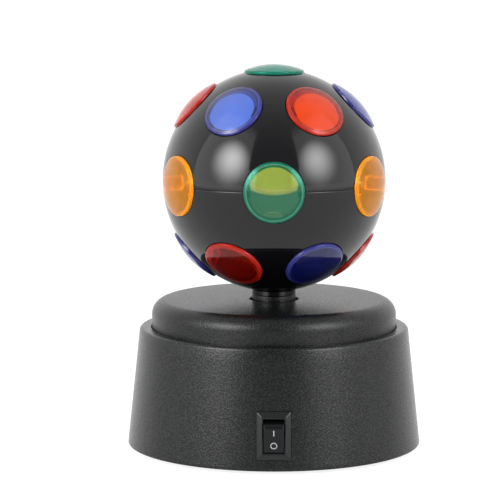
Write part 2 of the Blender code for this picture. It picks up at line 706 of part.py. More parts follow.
def make_all_screws(material):
    """Plate screws into the drum's bosses, and deck screws into the cap's posts."""
    boss_low = PLATE_TOP_Z + SEAT_GAP
    make_screws("plate_screw", ring_spots(PLATE_SCREW_RING_RADIUS, PLATE_SCREW_ANGLES),
                PLATE_BOTTOM_Z + SCREW_HEAD_RECESS, boss_low + PLATE_SCREW_BITE, material)
    make_screws("deck_screw", ring_spots(DECK_POST_RING_RADIUS, DECK_POST_ANGLES),
                DECK_UNDER_Z - SEAT_GAP - SCREW_HEAD_HEIGHT, DECK_POST_FOOT_Z + DECK_SCREW_BITE, material)


# Battery bay

def door_catches(clearance):
    """Boxes of the door's two tabs and its latch nose, grown by a clearance."""
    tab_high = DOOR_TOP_Z
    tab_low = tab_high - DOOR_TAB_THICKNESS
    edge = BAY_HALF_WIDTH - SEAT_GAP
    boxes = []
    for side in (-DOOR_TAB_OFFSET, DOOR_TAB_OFFSET):
        low = (side - DOOR_TAB_WIDTH / 2, -edge - DOOR_TAB_REACH, tab_low)
        high = (side + DOOR_TAB_WIDTH / 2, -edge + CUT_OVERRUN, tab_high)
        boxes.append((low, high))
    nose_low = (-LATCH_NOSE_WIDTH / 2, edge - CUT_OVERRUN, tab_low)
    nose_high = (LATCH_NOSE_WIDTH / 2, edge + LATCH_NOSE_REACH, tab_high)
    boxes.append((nose_low, nose_high))
    grow = Vector((clearance, clearance, clearance))
    return [(Vector(low) - grow, Vector(high) + grow) for low, high in boxes]


def make_battery_door(material):
    """Lift-off door with two tabs at the front edge and a sprung latch tongue at the back."""
    half_x = BAY_HALF_LENGTH - SEAT_GAP
    half_y = BAY_HALF_WIDTH - SEAT_GAP
    panel = ((-half_x, -half_y, PLATE_BOTTOM_Z), (half_x, half_y, DOOR_TOP_Z))
    door = part("battery_door", box_mesh("battery_door", [panel]), material)
    join(door, guide("door_catches", box_mesh("door_catches", door_catches(0.0))))
    slits = []
    for side in (-1, 1):
        middle = side * (LATCH_WIDTH + LATCH_SLIT) / 2
        low = (middle - LATCH_SLIT / 2, half_y - LATCH_LENGTH, PLATE_BOTTOM_Z - CUT_OVERRUN)
        high = (middle + LATCH_SLIT / 2, half_y + CUT_OVERRUN, DOOR_TOP_Z + CUT_OVERRUN)
        slits.append((low, high))
    cut(door, guide("latch_slits", box_mesh("latch_slits", slits)))
    groove_y = half_y - LATCH_LENGTH / 2
    groove = ((-FINGER_GROOVE_WIDTH / 2, groove_y - FINGER_GROOVE_LENGTH / 2, PLATE_BOTTOM_Z - CUT_OVERRUN),
              (FINGER_GROOVE_WIDTH / 2, groove_y + FINGER_GROOVE_LENGTH / 2,
               PLATE_BOTTOM_Z + FINGER_GROOVE_DEPTH))
    cut(door, guide("finger_groove", box_mesh("finger_groove", [groove])))
    return door


def cell_rows():
    """The y of each cell, with the side its positive end faces."""
    first = -(CELL_COUNT - 1) * CELL_PITCH / 2
    return [(first + CELL_PITCH * index, 1 if index % 2 else -1) for index in range(CELL_COUNT)]


def make_batteries(material):
    """AA cells laid side by side, each turned the other way from its neighbour."""
    top = CELL_LENGTH / 2
    shoulder = top - CELL_NUB_HEIGHT
    profile = [
        (0.0, top),
        (CELL_NUB_RADIUS, top),
        (CELL_NUB_RADIUS, shoulder),
        (CELL_RADIUS - CELL_EDGE, shoulder),
        (CELL_RADIUS, shoulder - CELL_EDGE),
        (CELL_RADIUS, CELL_EDGE - top),
        (CELL_RADIUS - CELL_EDGE, -top),
        (0.0, -top),
    ]
    mesh = turned_mesh("battery", profile, MEDIUM_SEGMENTS)
    for index, (y, side) in enumerate(cell_rows(), start=1):
        lay = Matrix.Rotation(side * math.pi / 2, 4, "Y")
        part(f"battery_{index}", mesh, material, Matrix.Translation((0.0, y, CELL_CENTRE_Z)) @ lay)


def make_contact(name, side, rows, has_tag, material):
    """Sheet contact at one end of the bay, with a bump that presses on each cell it serves."""
    plate_out = BAY_HALF_LENGTH - SEAT_GAP
    plate_in = plate_out - CONTACT_THICKNESS
    bump_in = CELL_LENGTH / 2 + SEAT_GAP
    ends_x = sorted((side * plate_in, side * plate_out))
    low_y = rows[0] - CONTACT_WIDTH / 2
    high_y = rows[-1] + CONTACT_WIDTH / 2
    low_z = CELL_CENTRE_Z - CONTACT_HEIGHT / 2
    high_z = CELL_CENTRE_Z + CONTACT_HEIGHT / 2
    sheet = ((ends_x[0], low_y, low_z), (ends_x[1], high_y, high_z))
    contact = part(name, box_mesh(name, [sheet]), material)
    upright = Matrix.Rotation(math.pi / 2, 4, "Y")
    for index, row in enumerate(rows, start=1):
        ends = sorted((side * bump_in, side * (plate_out - CONTACT_THICKNESS / 2)))
        bump = cylinder_mesh(f"{name}_bump_{index}", [(0.0, 0.0)], CONTACT_BUMP_RADIUS,
                             ends[0], ends[1], SMALL_SEGMENTS)
        join(contact, guide(f"{name}_bump_{index}", bump,
                            Matrix.Translation((0.0, row, CELL_CENTRE_Z)) @ upright))
    if has_tag:
        tag_low = (ends_x[0], rows[0] - CONTACT_TAG_WIDTH / 2, high_z - CONTACT_TAG_HEIGHT / 2)
        tag_high = (ends_x[1], rows[0] + CONTACT_TAG_WIDTH / 2, BAY_ROOF_Z + BAY_WALL + CONTACT_TAG_HEIGHT)
        join(contact, guide(f"{name}_tag", box_mesh(f"{name}_tag", [(tag_low, tag_high)])))
    return contact


def make_contacts(plate, material):
    """Two end contacts with solder tags through the bay's roof, and two bridges between cells."""
    rows = [y for y, _ in cell_rows()]
    make_contact("plus_contact", -1, rows[:1], True, material)
    make_contact("bridge_contact_right", 1, rows[:2], False, material)
    make_contact("bridge_contact_left", -1, rows[1:], False, material)
    make_contact("minus_contact", 1, rows[2:], True, material)
    slots = []
    for side, row in ((-1, rows[0]), (1, rows[2])):
        ends = sorted((side * (BAY_HALF_LENGTH - CONTACT_THICKNESS - 2 * SEAT_GAP),
                       side * BAY_HALF_LENGTH))
        half = CONTACT_TAG_WIDTH / 2 + SEAT_GAP
        slots.append(((ends[0], row - half, BAY_ROOF_Z - CUT_OVERRUN),
                      (ends[1], row + half, BAY_ROOF_Z + BAY_WALL + CUT_OVERRUN)))
    cut(plate, guide("tag_slots", box_mesh("tag_slots", slots)))


# Rocker switch

def switch_opening_width():
    """Width of the well that the rocker moves in."""
    return ROCKER_WIDTH + 2 * SEAT_GAP


def rocker_half_length(rise):
    """Half the rocker's length at a rise above its pivot, so that a pressed end stands square."""
    face_edge = ROCKER_FACE_LENGTH / 2
    return face_edge + (ROCKER_RISE - rise) * math.tan(ROCKER_TILT)


def switch_opening_length():
    """Length of the well, which clears the rocker's ends at both tilts."""
    reach = ROCKER_FACE_LENGTH / 2 * math.cos(ROCKER_TILT) + ROCKER_RISE * math.sin(ROCKER_TILT)
    return 2 * (reach + SEAT_GAP)


def switch_body_width():
    """Outer width of the switch body behind the bezel."""
    return switch_opening_width() + 2 * SWITCH_SIDE_WALL


def switch_body_length():
    """Outer length of the switch body behind the bezel."""
    return switch_opening_length() + 2 * SWITCH_END_WALL


def bezel_face():
    """Height of the bezel's face on the switch's own axes."""
    return SEAT_GAP - switch_seat_depth() + BEZEL_THICKNESS


def make_switch_body(material):
    """Bezel with bevelled sides, on a box body with the rocker's well and pivot holes."""
    place = switch_place()
    face = bezel_face()
    low = face - BEZEL_THICKNESS
    frame = box_mesh("switch_body", [((-BEZEL_WIDTH / 2, -BEZEL_LENGTH / 2, low),
                                      (BEZEL_WIDTH / 2, BEZEL_LENGTH / 2, face))])
    shape = bmesh.new()
    shape.from_mesh(frame)
    slope = BEZEL_THICKNESS - BEZEL_RIM
    for vertex in shape.verts:
        if vertex.co.z > low + slope:
            vertex.co.x -= math.copysign(BEZEL_BEVEL, vertex.co.x)
            vertex.co.y -= math.copysign(BEZEL_BEVEL, vertex.co.y)
    sloping = [edge for edge in shape.edges if abs(edge.verts[0].co.z - edge.verts[1].co.z) > slope]
    rim = bmesh.ops.subdivide_edges(shape, edges=sloping, cuts=1)
    for item in rim["geom_inner"]:
        if isinstance(item, bmesh.types.BMVert):
            item.co = (math.copysign(BEZEL_WIDTH / 2, item.co.x),
                       math.copysign(BEZEL_LENGTH / 2, item.co.y), low + BEZEL_RIM)
    shape.to_mesh(frame)
    shape.free()
    body = part("switch_body", frame, material, place)

    half_width = switch_body_width() / 2
    half_length = switch_body_length() / 2
    block = ((-half_width, -half_length, low - SWITCH_BODY_DEPTH), (half_width, half_length, low + BEZEL_RIM))
    join(body, guide("switch_block", box_mesh("switch_block", [block]), place))
    half_width = switch_opening_width() / 2
    half_length = switch_opening_length() / 2
    well = ((-half_width, -half_length, face - SWITCH_WELL_DEPTH), (half_width, half_length, face + CUT_OVERRUN))
    cut(body, guide("switch_well", box_mesh("switch_well", [well]), place))

    reach = half_width + ROCKER_PIN_LENGTH + SEAT_GAP
    hole = cylinder_mesh("pivot_hole", [(0.0, 0.0)], ROCKER_PIN_RADIUS + SEAT_GAP, -reach, reach, SMALL_SEGMENTS)
    across = Matrix.Translation((0.0, 0.0, face - ROCKER_PIVOT_DEPTH)) @ Matrix.Rotation(math.pi / 2, 4, "Y")
    cut(body, guide("pivot_hole", hole, place @ across))

    slots = []
    root = low - SWITCH_BODY_DEPTH
    for side in (-1, 1):
        middle = side * SWITCH_BLADE_SPREAD / 2
        half_width = SWITCH_BLADE_WIDTH / 2 + SEAT_GAP
        half_depth = SWITCH_BLADE_THICKNESS / 2 + SEAT_GAP
        slots.append(((-half_width, middle - half_depth, root - CUT_OVERRUN),
                      (half_width, middle + half_depth, root + SWITCH_BLADE_ROOT + SEAT_GAP)))
    cut(body, guide("blade_slots", box_mesh("blade_slots", slots), place))
    return body


def make_switch_rocker(material):
    """Rocker with a flat printed face and leaning ends, at rest with its lower end pressed in."""
    lower = rocker_half_length(0.0)
    side_view = [
        (-ROCKER_FACE_LENGTH / 2, ROCKER_RISE),
        (-lower, 0.0),
        (-ROCKER_KEEL_LENGTH / 2, -ROCKER_KEEL),
        (ROCKER_KEEL_LENGTH / 2, -ROCKER_KEEL),
        (lower, 0.0),
        (ROCKER_FACE_LENGTH / 2, ROCKER_RISE),
    ]
    mesh = flat_mesh("switch_rocker", [side_view], -ROCKER_WIDTH / 2, ROCKER_WIDTH / 2)
    pivot = Matrix.Translation((0.0, 0.0, bezel_face() - ROCKER_PIVOT_DEPTH))
    tilt = Matrix.Rotation(ROCKER_TILT, 4, "X")
    # The outline's x and y become the switch's y and z, and its thickness lies across.
    stand = Matrix(((0.0, 0.0, 1.0), (1.0, 0.0, 0.0), (0.0, 1.0, 0.0))).to_4x4()
    place = switch_place() @ pivot @ tilt @ stand
    rocker = part("switch_rocker", mesh, material, place)
    reach = ROCKER_WIDTH / 2 + ROCKER_PIN_LENGTH
    pin = cylinder_mesh("rocker_pin", [(0.0, 0.0)], ROCKER_PIN_RADIUS, -reach, reach, SMALL_SEGMENTS)
    join(rocker, guide("rocker_pin", pin, place))
    return rocker


def make_switch_terminals(material):
    """Two blade terminals in the back of the switch."""
    place = switch_place()
    root = bezel_face() - BEZEL_THICKNESS - SWITCH_BODY_DEPTH
    for index, side in enumerate((-1, 1), start=1):
        middle = side * SWITCH_BLADE_SPREAD / 2
        low = (-SWITCH_BLADE_WIDTH / 2, middle - SWITCH_BLADE_THICKNESS / 2, root - SWITCH_BLADE_LENGTH)
        high = (SWITCH_BLADE_WIDTH / 2, middle + SWITCH_BLADE_THICKNESS / 2, root + SWITCH_BLADE_ROOT)
        name = f"switch_terminal_{index}"
        part(name, box_mesh(name, [(low, high)]), material, place)


# Drive

def make_gear_deck(material):
    """Round plate under the cap that carries the motor, the lamp post and the ball's weight."""
    motor_hole = circle_outline(MOTOR_BOSS_RADIUS + SEAT_GAP, MEDIUM_SEGMENTS, 0.0, PINION_AXIS_Y)
    holes = [circle_outline(POST_RADIUS + SEAT_GAP, SMALL_SEGMENTS), motor_hole]
    for x, y in ring_spots(DECK_POST_RING_RADIUS, DECK_POST_ANGLES):
        holes.append(circle_outline(SCREW_SHANK_RADIUS + SEAT_GAP, SMALL_SEGMENTS, x, y))
    rim = circle_outline(DECK_RADIUS, DRUM_SEGMENTS)
    return part("gear_deck", flat_mesh("gear_deck", [rim, *holes], DECK_UNDER_Z, DECK_TOP_Z), material)


def make_bearing_bush(material):
    """Flanged bush that guides the spindle in the cap's hub."""
    bore = JOURNAL_RADIUS + SEAT_GAP
    flange_bottom = BUSH_FLANGE_TOP_Z - BUSH_FLANGE_THICKNESS
    flange_radius = BUSH_RADIUS + BUSH_FLANGE_REACH
    profile = [
        (bore, BUSH_TOP_Z),
        (BUSH_RADIUS, BUSH_TOP_Z),
        (BUSH_RADIUS, BUSH_FLANGE_TOP_Z),
        (flange_radius, BUSH_FLANGE_TOP_Z),
        (flange_radius, flange_bottom),
        (bore, flange_bottom),
    ]
    return part("bearing_bush", turned_mesh("bearing_bush", profile, MEDIUM_SEGMENTS), material)


def make_thrust_washer(material):
    """Slippery washer between the deck and the gear's hub, which takes the ball's weight."""
    top = WASHER_BOTTOM_Z + WASHER_THICKNESS
    profile = [
        (WASHER_BORE_RADIUS, top),
        (WASHER_RADIUS, top),
        (WASHER_RADIUS, WASHER_BOTTOM_Z),
        (WASHER_BORE_RADIUS, WASHER_BOTTOM_Z),
    ]
    return part("thrust_washer", turned_mesh("thrust_washer", profile, MEDIUM_SEGMENTS), material)


def involute_half_angle(teeth, radius):
    """Half the angle that a tooth fills at a radius, from the involute of its base circle."""
    pitch = GEAR_MODULE * teeth / 2
    base = pitch * math.cos(PRESSURE_ANGLE)
    at_pitch = math.pi / (2 * teeth) - TOOTH_BACKLASH / (4 * pitch)
    lean = math.acos(min(1.0, base / radius))
    roll = math.tan(PRESSURE_ANGLE) - PRESSURE_ANGLE
    return at_pitch + roll - (math.tan(lean) - lean)


def gear_outline(teeth, flank_steps, start):
    """Outline of a spur gear with one tooth centred on the start angle."""
    pitch = GEAR_MODULE * teeth / 2
    tip = pitch + TOOTH_ADDENDUM
    root = pitch - TOOTH_DEDENDUM
    flank = [root + (tip - root) * index / flank_steps for index in range(flank_steps + 1)]
    outline = []
    for tooth in range(teeth):
        middle = start + math.tau * tooth / teeth
        climb = [(radius, middle - involute_half_angle(teeth, radius)) for radius in flank]
        descent = [(radius, middle + involute_half_angle(teeth, radius)) for radius in reversed(flank)]
        outline += [(r * math.cos(a), r * math.sin(a)) for r, a in climb + descent]
    return outline


def make_drive_gear(material):
    """Spur gear with a keyed hub and round windows, on the foot of the spindle."""
    bore = d_outline(GEAR_SEAT_RADIUS + SEAT_GAP, GEAR_SEAT_FLAT + SEAT_GAP, MEDIUM_SEGMENTS)
    teeth = gear_outline(GEAR_TEETH, 1, math.pi / 2)
    ring_radius = (GEAR_HUB_RADIUS + GEAR_PITCH_RADIUS) / 2
    angles = [360.0 * index / GEAR_WINDOW_COUNT for index in range(GEAR_WINDOW_COUNT)]
    windows = [circle_outline(GEAR_WINDOW_RADIUS, SMALL_SEGMENTS, x, y)
               for x, y in ring_spots(ring_radius, angles)]
    eye = circle_outline((GEAR_SEAT_RADIUS + GEAR_HUB_RADIUS) / 2, MEDIUM_SEGMENTS)
    rim = flat_mesh("drive_gear", [teeth, eye, *windows], GEAR_BOTTOM_Z, GEAR_TOP_Z)
    gear = part("drive_gear", rim, material)
    collar = [circle_outline(GEAR_HUB_RADIUS, MEDIUM_SEGMENTS), bore]
    hub = flat_mesh("gear_hub", collar, GEAR_HUB_BOTTOM_Z, GEAR_HUB_TOP_Z)
    join(gear, guide("gear_hub", hub))
    return gear


def make_pinion(material):
    """Small gear moulded on the motor's output shaft."""
    place = Matrix.Translation((0.0, PINION_AXIS_Y, 0.0))
    gap_angle = -math.pi / 2 + math.pi / PINION_TEETH
    teeth = gear_outline(PINION_TEETH, 2, gap_angle)
    pinion = part("pinion", flat_mesh("pinion", [teeth], GEAR_BOTTOM_Z, GEAR_TOP_Z), material, place)
    hub_bottom = DECK_TOP_Z + SEAT_GAP
    shaft_bottom = DECK_UNDER_Z - PINION_SHAFT_DEPTH
    middle = (GEAR_BOTTOM_Z + GEAR_TOP_Z) / 2
    profile = [
        (0.0, middle),
        (PINION_HUB_RADIUS, middle),
        (PINION_HUB_RADIUS, hub_bottom),
        (PINION_SHAFT_RADIUS, hub_bottom),
        (PINION_SHAFT_RADIUS, shaft_bottom),
        (0.0, shaft_bottom),
    ]
    join(pinion, guide("pinion_shaft", turned_mesh("pinion_shaft", profile, SMALL_SEGMENTS), place))
    return pinion


def make_gear_motor(material):
    """Flat geared motor with mounting ears, hung under the deck."""
    place = Matrix.Translation((0.0, PINION_AXIS_Y, 0.0))
    top = DECK_UNDER_Z - SEAT_GAP
    bottom = MOTOR_BOTTOM_Z
    hole = PINION_SHAFT_RADIUS + SEAT_GAP
    hole_bottom = DECK_UNDER_Z - PINION_SHAFT_DEPTH - SEAT_GAP
    profile = [
        (0.0, hole_bottom),
        (hole, hole_bottom),
        (hole, DECK_TOP_Z),
        (MOTOR_BOSS_RADIUS, DECK_TOP_Z),
        (MOTOR_BOSS_RADIUS, top),
        (MOTOR_RADIUS, top),
        (MOTOR_RADIUS, bottom + MOTOR_EDGE),
        (MOTOR_RADIUS - MOTOR_EDGE, bottom),
        (0.0, bottom),
    ]
    motor = part("gear_motor", turned_mesh("gear_motor", profile, MEDIUM_SEGMENTS), material, place)
    for side, name in ((-1, "motor_ear_left"), (1, "motor_ear_right")):
        near = side * (MOTOR_RADIUS - MOTOR_EAR_HOLE_INSET)
        far = side * (MOTOR_RADIUS + MOTOR_EAR_REACH)
        ends = sorted((near, far))
        ear = ((ends[0], -MOTOR_EAR_WIDTH / 2, top - CUT_OVERRUN / 2 - MOTOR_EAR_THICKNESS),
               (ends[1], MOTOR_EAR_WIDTH / 2, top - CUT_OVERRUN / 2))
        join(motor, guide(name, box_mesh(name, [ear]), place))
    reach = MOTOR_RADIUS + MOTOR_EAR_REACH - MOTOR_EAR_HOLE_INSET
    holes = cylinder_mesh("motor_ear_holes", [(-reach, 0.0), (reach, 0.0)], MOTOR_EAR_HOLE_RADIUS,
                          bottom, top + CUT_OVERRUN, SMALL_SEGMENTS)
    cut(motor, guide("motor_ear_holes", holes, place))
    return motor


# Lamp

def make_lamp(post_material, board_material, led_material):
    """Hollow post up the middle of the spindle, with a board and one large LED on top."""
    flange_top = DECK_UNDER_Z - SEAT_GAP
    flange_bottom = flange_top - POST_FLANGE_THICKNESS
    collar_bottom = DECK_TOP_Z + SEAT_GAP
    collar_radius = POST_RADIUS + POST_COLLAR_REACH
    post_top = BOARD_BOTTOM_Z - SEAT_GAP
    profile = [
        (POST_BORE_RADIUS, post_top),
        (POST_RADIUS, post_top),
        (POST_RADIUS, collar_bottom + POST_COLLAR_HEIGHT),
        (collar_radius, collar_bottom),
        (POST_RADIUS, collar_bottom),
        (POST_RADIUS, flange_top),
        (POST_FLANGE_RADIUS, flange_top),
        (POST_FLANGE_RADIUS, flange_bottom),
        (POST_BORE_RADIUS, flange_bottom),
    ]
    part("lamp_post", turned_mesh("lamp_post", profile, SMALL_SEGMENTS), post_material)

    board_top = BOARD_BOTTOM_Z + BOARD_THICKNESS
    profile = [(0.0, board_top), (BOARD_RADIUS, board_top), (BOARD_RADIUS, BOARD_BOTTOM_Z), (0.0, BOARD_BOTTOM_Z)]
    part("lamp_board", turned_mesh("lamp_board", profile, MEDIUM_SEGMENTS), board_material)

    dome_base = LED_TOP_Z - LED_RADIUS
    rim = LED_RADIUS + LED_RIM_REACH
    arc = [math.pi / 2 * index / 4 for index in range(5)]
    profile = [(LED_RADIUS * math.sin(turn), dome_base + LED_RADIUS * math.cos(turn)) for turn in arc]
    profile += [
        (LED_RADIUS, LED_BOTTOM_Z + LED_RIM_HEIGHT),
        (rim, LED_BOTTOM_Z + LED_RIM_HEIGHT),
        (rim, LED_BOTTOM_Z),
        (0.0, LED_BOTTOM_Z),
    ]
    part("led_lamp", turned_mesh("led_lamp", profile, MEDIUM_SEGMENTS), led_material)


# Leads

def eased_route(points):
    """Places along a smooth curve through every point, each span bending with its neighbours."""
    points = [Vector(point) for point in points]
    spans = [2 * points[0] - points[1], *points, 2 * points[-1] - points[-2]]
    route = []
    for before, start, end, after in zip(spans, spans[1:], spans[2:], spans[3:]):
        for index in range(LEAD_STEPS):
            share = index / LEAD_STEPS
            slope = (end - before) * share
            bend = (2 * before - 5 * start + 4 * end - after) * share ** 2
            twist = (3 * start - before - 3 * end + after) * share ** 3
            route.append((2 * start + slope + bend + twist) / 2)
    route.append(points[-1])
    return route


def lead_mesh(name, points, radius):
    """A round lead along a route, closed at both ends."""
    route = eased_route(points)
    curve = bpy.data.curves.new(name, "CURVE")
    curve.dimensions = "3D"
    curve.bevel_depth = radius
    curve.bevel_resolution = 2
    curve.use_fill_caps = True
    spline = curve.splines.new("POLY")
    spline.points.add(len(route) - 1)
    for point, place in zip(spline.points, route):
        point.co = (*place, 1.0)
    sketch = bpy.data.objects.new(name, curve)
    CUTTERS.objects.link(sketch)
    mesh = evaluated_mesh(sketch)
    mesh.name = name
    bpy.data.objects.remove(sketch, do_unlink=True)
    bpy.data.curves.remove(curve)
    shape = bmesh.new()
    shape.from_mesh(mesh)
    bmesh.ops.remove_doubles(shape, verts=shape.verts, dist=MERGE_DISTANCE)
    bmesh.ops.recalc_face_normals(shape, faces=shape.faces)
    shape.to_mesh(mesh)
    shape.free()
    return smooth(mesh)


def tag_points(side, row):
    """Where a lead meets the top of a contact's tag, and a point straight above."""
    x = side * (BAY_HALF_LENGTH - SEAT_GAP - CONTACT_THICKNESS / 2)
    z = BAY_ROOF_Z + BAY_WALL + CONTACT_TAG_HEIGHT + SEAT_GAP
    return [Vector((x, row, z)), Vector((x, row, z + LEAD_STRAIGHT))]


def blade_points(side):
    """Where a lead meets the end of a switch blade, and a point straight behind it."""
    end = bezel_face() - BEZEL_THICKNESS - SWITCH_BODY_DEPTH - SWITCH_BLADE_LENGTH - SEAT_GAP
    middle = side * SWITCH_BLADE_SPREAD / 2
    return [switch_place() @ Vector((0.0, middle, z)) for z in (end, end - LEAD_STRAIGHT)]


def make_leads(material):
    """Leads from the cells to the switch, from the switch by the motor to the cells, and to the lamp."""
    rows = [y for y, _ in cell_rows()]
    to_switch = tag_points(-1, rows[0]) + list(BATTERY_LEAD_ROUTE) + blade_points(1)[::-1]
    part("battery_lead", lead_mesh("battery_lead", to_switch, LEAD_RADIUS), material)
    past_motor = blade_points(-1) + list(MOTOR_LEAD_ROUTE) + tag_points(1, rows[-1])[::-1]
    part("motor_lead", lead_mesh("motor_lead", past_motor, LEAD_RADIUS), material)
    start = (0.0, PINION_AXIS_Y - MOTOR_RADIUS - SEAT_GAP, MOTOR_BOTTOM_Z + MOTOR_HEIGHT / 2)
    up_the_post = [start, *LAMP_LEAD_ROUTE, (0.0, 0.0, BOARD_BOTTOM_Z - SEAT_GAP)]
    part("lamp_lead", lead_mesh("lamp_lead", up_the_post, LAMP_LEAD_RADIUS), material)


# Ball

def arc_points(radius, from_latitude, to_latitude, steps):
    """Points of a circle about the ball's centre between two latitudes in radians."""
    turns = [from_latitude + (to_latitude - from_latitude) * index / steps for index in range(steps + 1)]
    return [(radius * math.cos(turn), radius * math.sin(turn)) for turn in turns]


def lens_place(azimuth, latitude):
    """A lens's axes about the ball's centre, with z outwards and x level."""
    turn = math.radians(azimuth)
    rise = math.radians(latitude)
    out = Vector((math.sin(turn) * math.cos(rise), -math.cos(turn) * math.cos(rise), math.sin(rise)))
    level = Vector((math.cos(turn), math.sin(turn), 0.0))
    place = Matrix((level, out.cross(level), out)).transposed().to_4x4()
    place.translation = (0.0, 0.0, BALL_CENTRE_Z)
    return place


def lens_layout():
    """Name, colour and place of each lens: one at the pole, a belt, and a row above and below it."""
    spacing = 360.0 / LENS_ROW_COUNT
    layout = [("lens_top", "green", lens_place(0.0, 90.0))]
    rows = (
        ("upper", LENS_ROW_START, LENS_ROW_LATITUDE, ("red", "blue")),
        ("belt", LENS_BELT_START, 0.0, ("green", "orange")),
        ("lower", LENS_ROW_START, -LENS_ROW_LATITUDE, ("blue", "red")),
    )
    for row, start, latitude, colours in rows:
        for index in range(LENS_ROW_COUNT):
            place = lens_place(start + spacing * index, latitude)
            layout.append((f"lens_{row}_{index + 1}", colours[index % 2], place))
    return layout


def lens_height(radius):
    """Height of the outer dome above the ball's centre at a distance from the lens's axis."""
    edge = LENS_BASE_HEIGHT + LENS_FLANGE
    drop = math.sqrt(LENS_DOME_RADIUS ** 2 - LENS_RADIUS ** 2)
    return edge - drop + math.sqrt(LENS_DOME_RADIUS ** 2 - radius ** 2)


def leg_outer():
    """Distance of a leg's outer face from the lens's axis, just inside its faceted hole."""
    clear = LENS_HOLE_RADIUS * math.cos(math.pi / LENS_SEGMENTS) - SEAT_GAP
    return math.sqrt(clear ** 2 - (LEG_WIDTH / 2) ** 2)


def lens_mesh():
    """Domed lens with a flange that fills its seat, and two hooked legs through its hole."""
    steps = [LENS_RADIUS * index / LENS_DOME_STEPS for index in range(LENS_DOME_STEPS + 1)]
    profile = [(radius, lens_height(radius)) for radius in steps]
    profile += [
        (LENS_RADIUS, LENS_BASE_HEIGHT),
        (LENS_RADIUS - LENS_RIM, LENS_BASE_HEIGHT),
        (0.0, lens_height(0.0) - LENS_WALL),
    ]
    lens = guide("lens_blank", turned_mesh("lens_blank", profile, LENS_SEGMENTS))
    outer = leg_outer()
    top = LENS_BASE_HEIGHT + LENS_FLANGE / 4
    hook_top = LEG_FOOT_HEIGHT + LEG_HOOK_HEIGHT
    leg = [
        (outer - LEG_THICKNESS, top),
        (outer - LEG_THICKNESS, LEG_FOOT_HEIGHT),
        (outer, LEG_FOOT_HEIGHT),
        (outer + LEG_HOOK, hook_top),
        (outer, hook_top),
        (outer, top),
    ]
    mesh = flat_mesh("lens_leg", [leg], -LEG_WIDTH / 2, LEG_WIDTH / 2)
    # The outline's x and y become the lens's x and z.
    stand = Matrix.Rotation(math.pi / 2, 4, "X")
    join(lens, guide("lens_leg_right", mesh, stand))
    join(lens, guide("lens_leg_left", mesh, Matrix.Rotation(math.pi, 4, "Z") @ stand))
    result = smooth(evaluated_mesh(lens))
    result.name = "lens"
    for name in ("lens_blank", "lens_leg_right", "lens_leg_left"):
        bpy.data.objects.remove(bpy.data.objects[name], do_unlink=True)
    return result


def lens_seat_cutter():
    """One guide that cuts every lens's spot-face and hole from the ball."""
    seat_radius = LENS_RADIUS + SEAT_GAP / math.cos(math.pi / LENS_SEGMENTS)
    apex = lens_height(0.0) + CUT_OVERRUN
    bottom = LEG_FOOT_HEIGHT
    profile = [
        (0.0, apex),
        (seat_radius, apex),
        (seat_radius, LENS_SEAT_HEIGHT),
        (LENS_HOLE_RADIUS, LENS_SEAT_HEIGHT),
        (LENS_HOLE_RADIUS, bottom),
        (0.0, bottom),
    ]
    blank = turned_mesh("lens_seat", profile, LENS_SEGMENTS)
    places = [place for _, _, place in lens_layout()]
    return guide("lens_seats", repeated_mesh("lens_seats", blank, places))


def lip_notch_cutter():
    """One guide that opens the lower shell's lip where the belt lenses' hooks pass it."""
    reach = leg_outer() + LEG_HOOK + SEAT_GAP
    low = (-reach, -SEAT_GAP / 2, LEG_FOOT_HEIGHT - CUT_OVERRUN)
    high = (reach, LIP_HEIGHT + CUT_OVERRUN, BALL_RADIUS)
    places = [place for name, _, place in lens_layout() if name.startswith("lens_belt")]
    return guide("lip_notches", repeated_mesh("lip_notches", box_mesh("lip_notch", [(low, high)]), places))


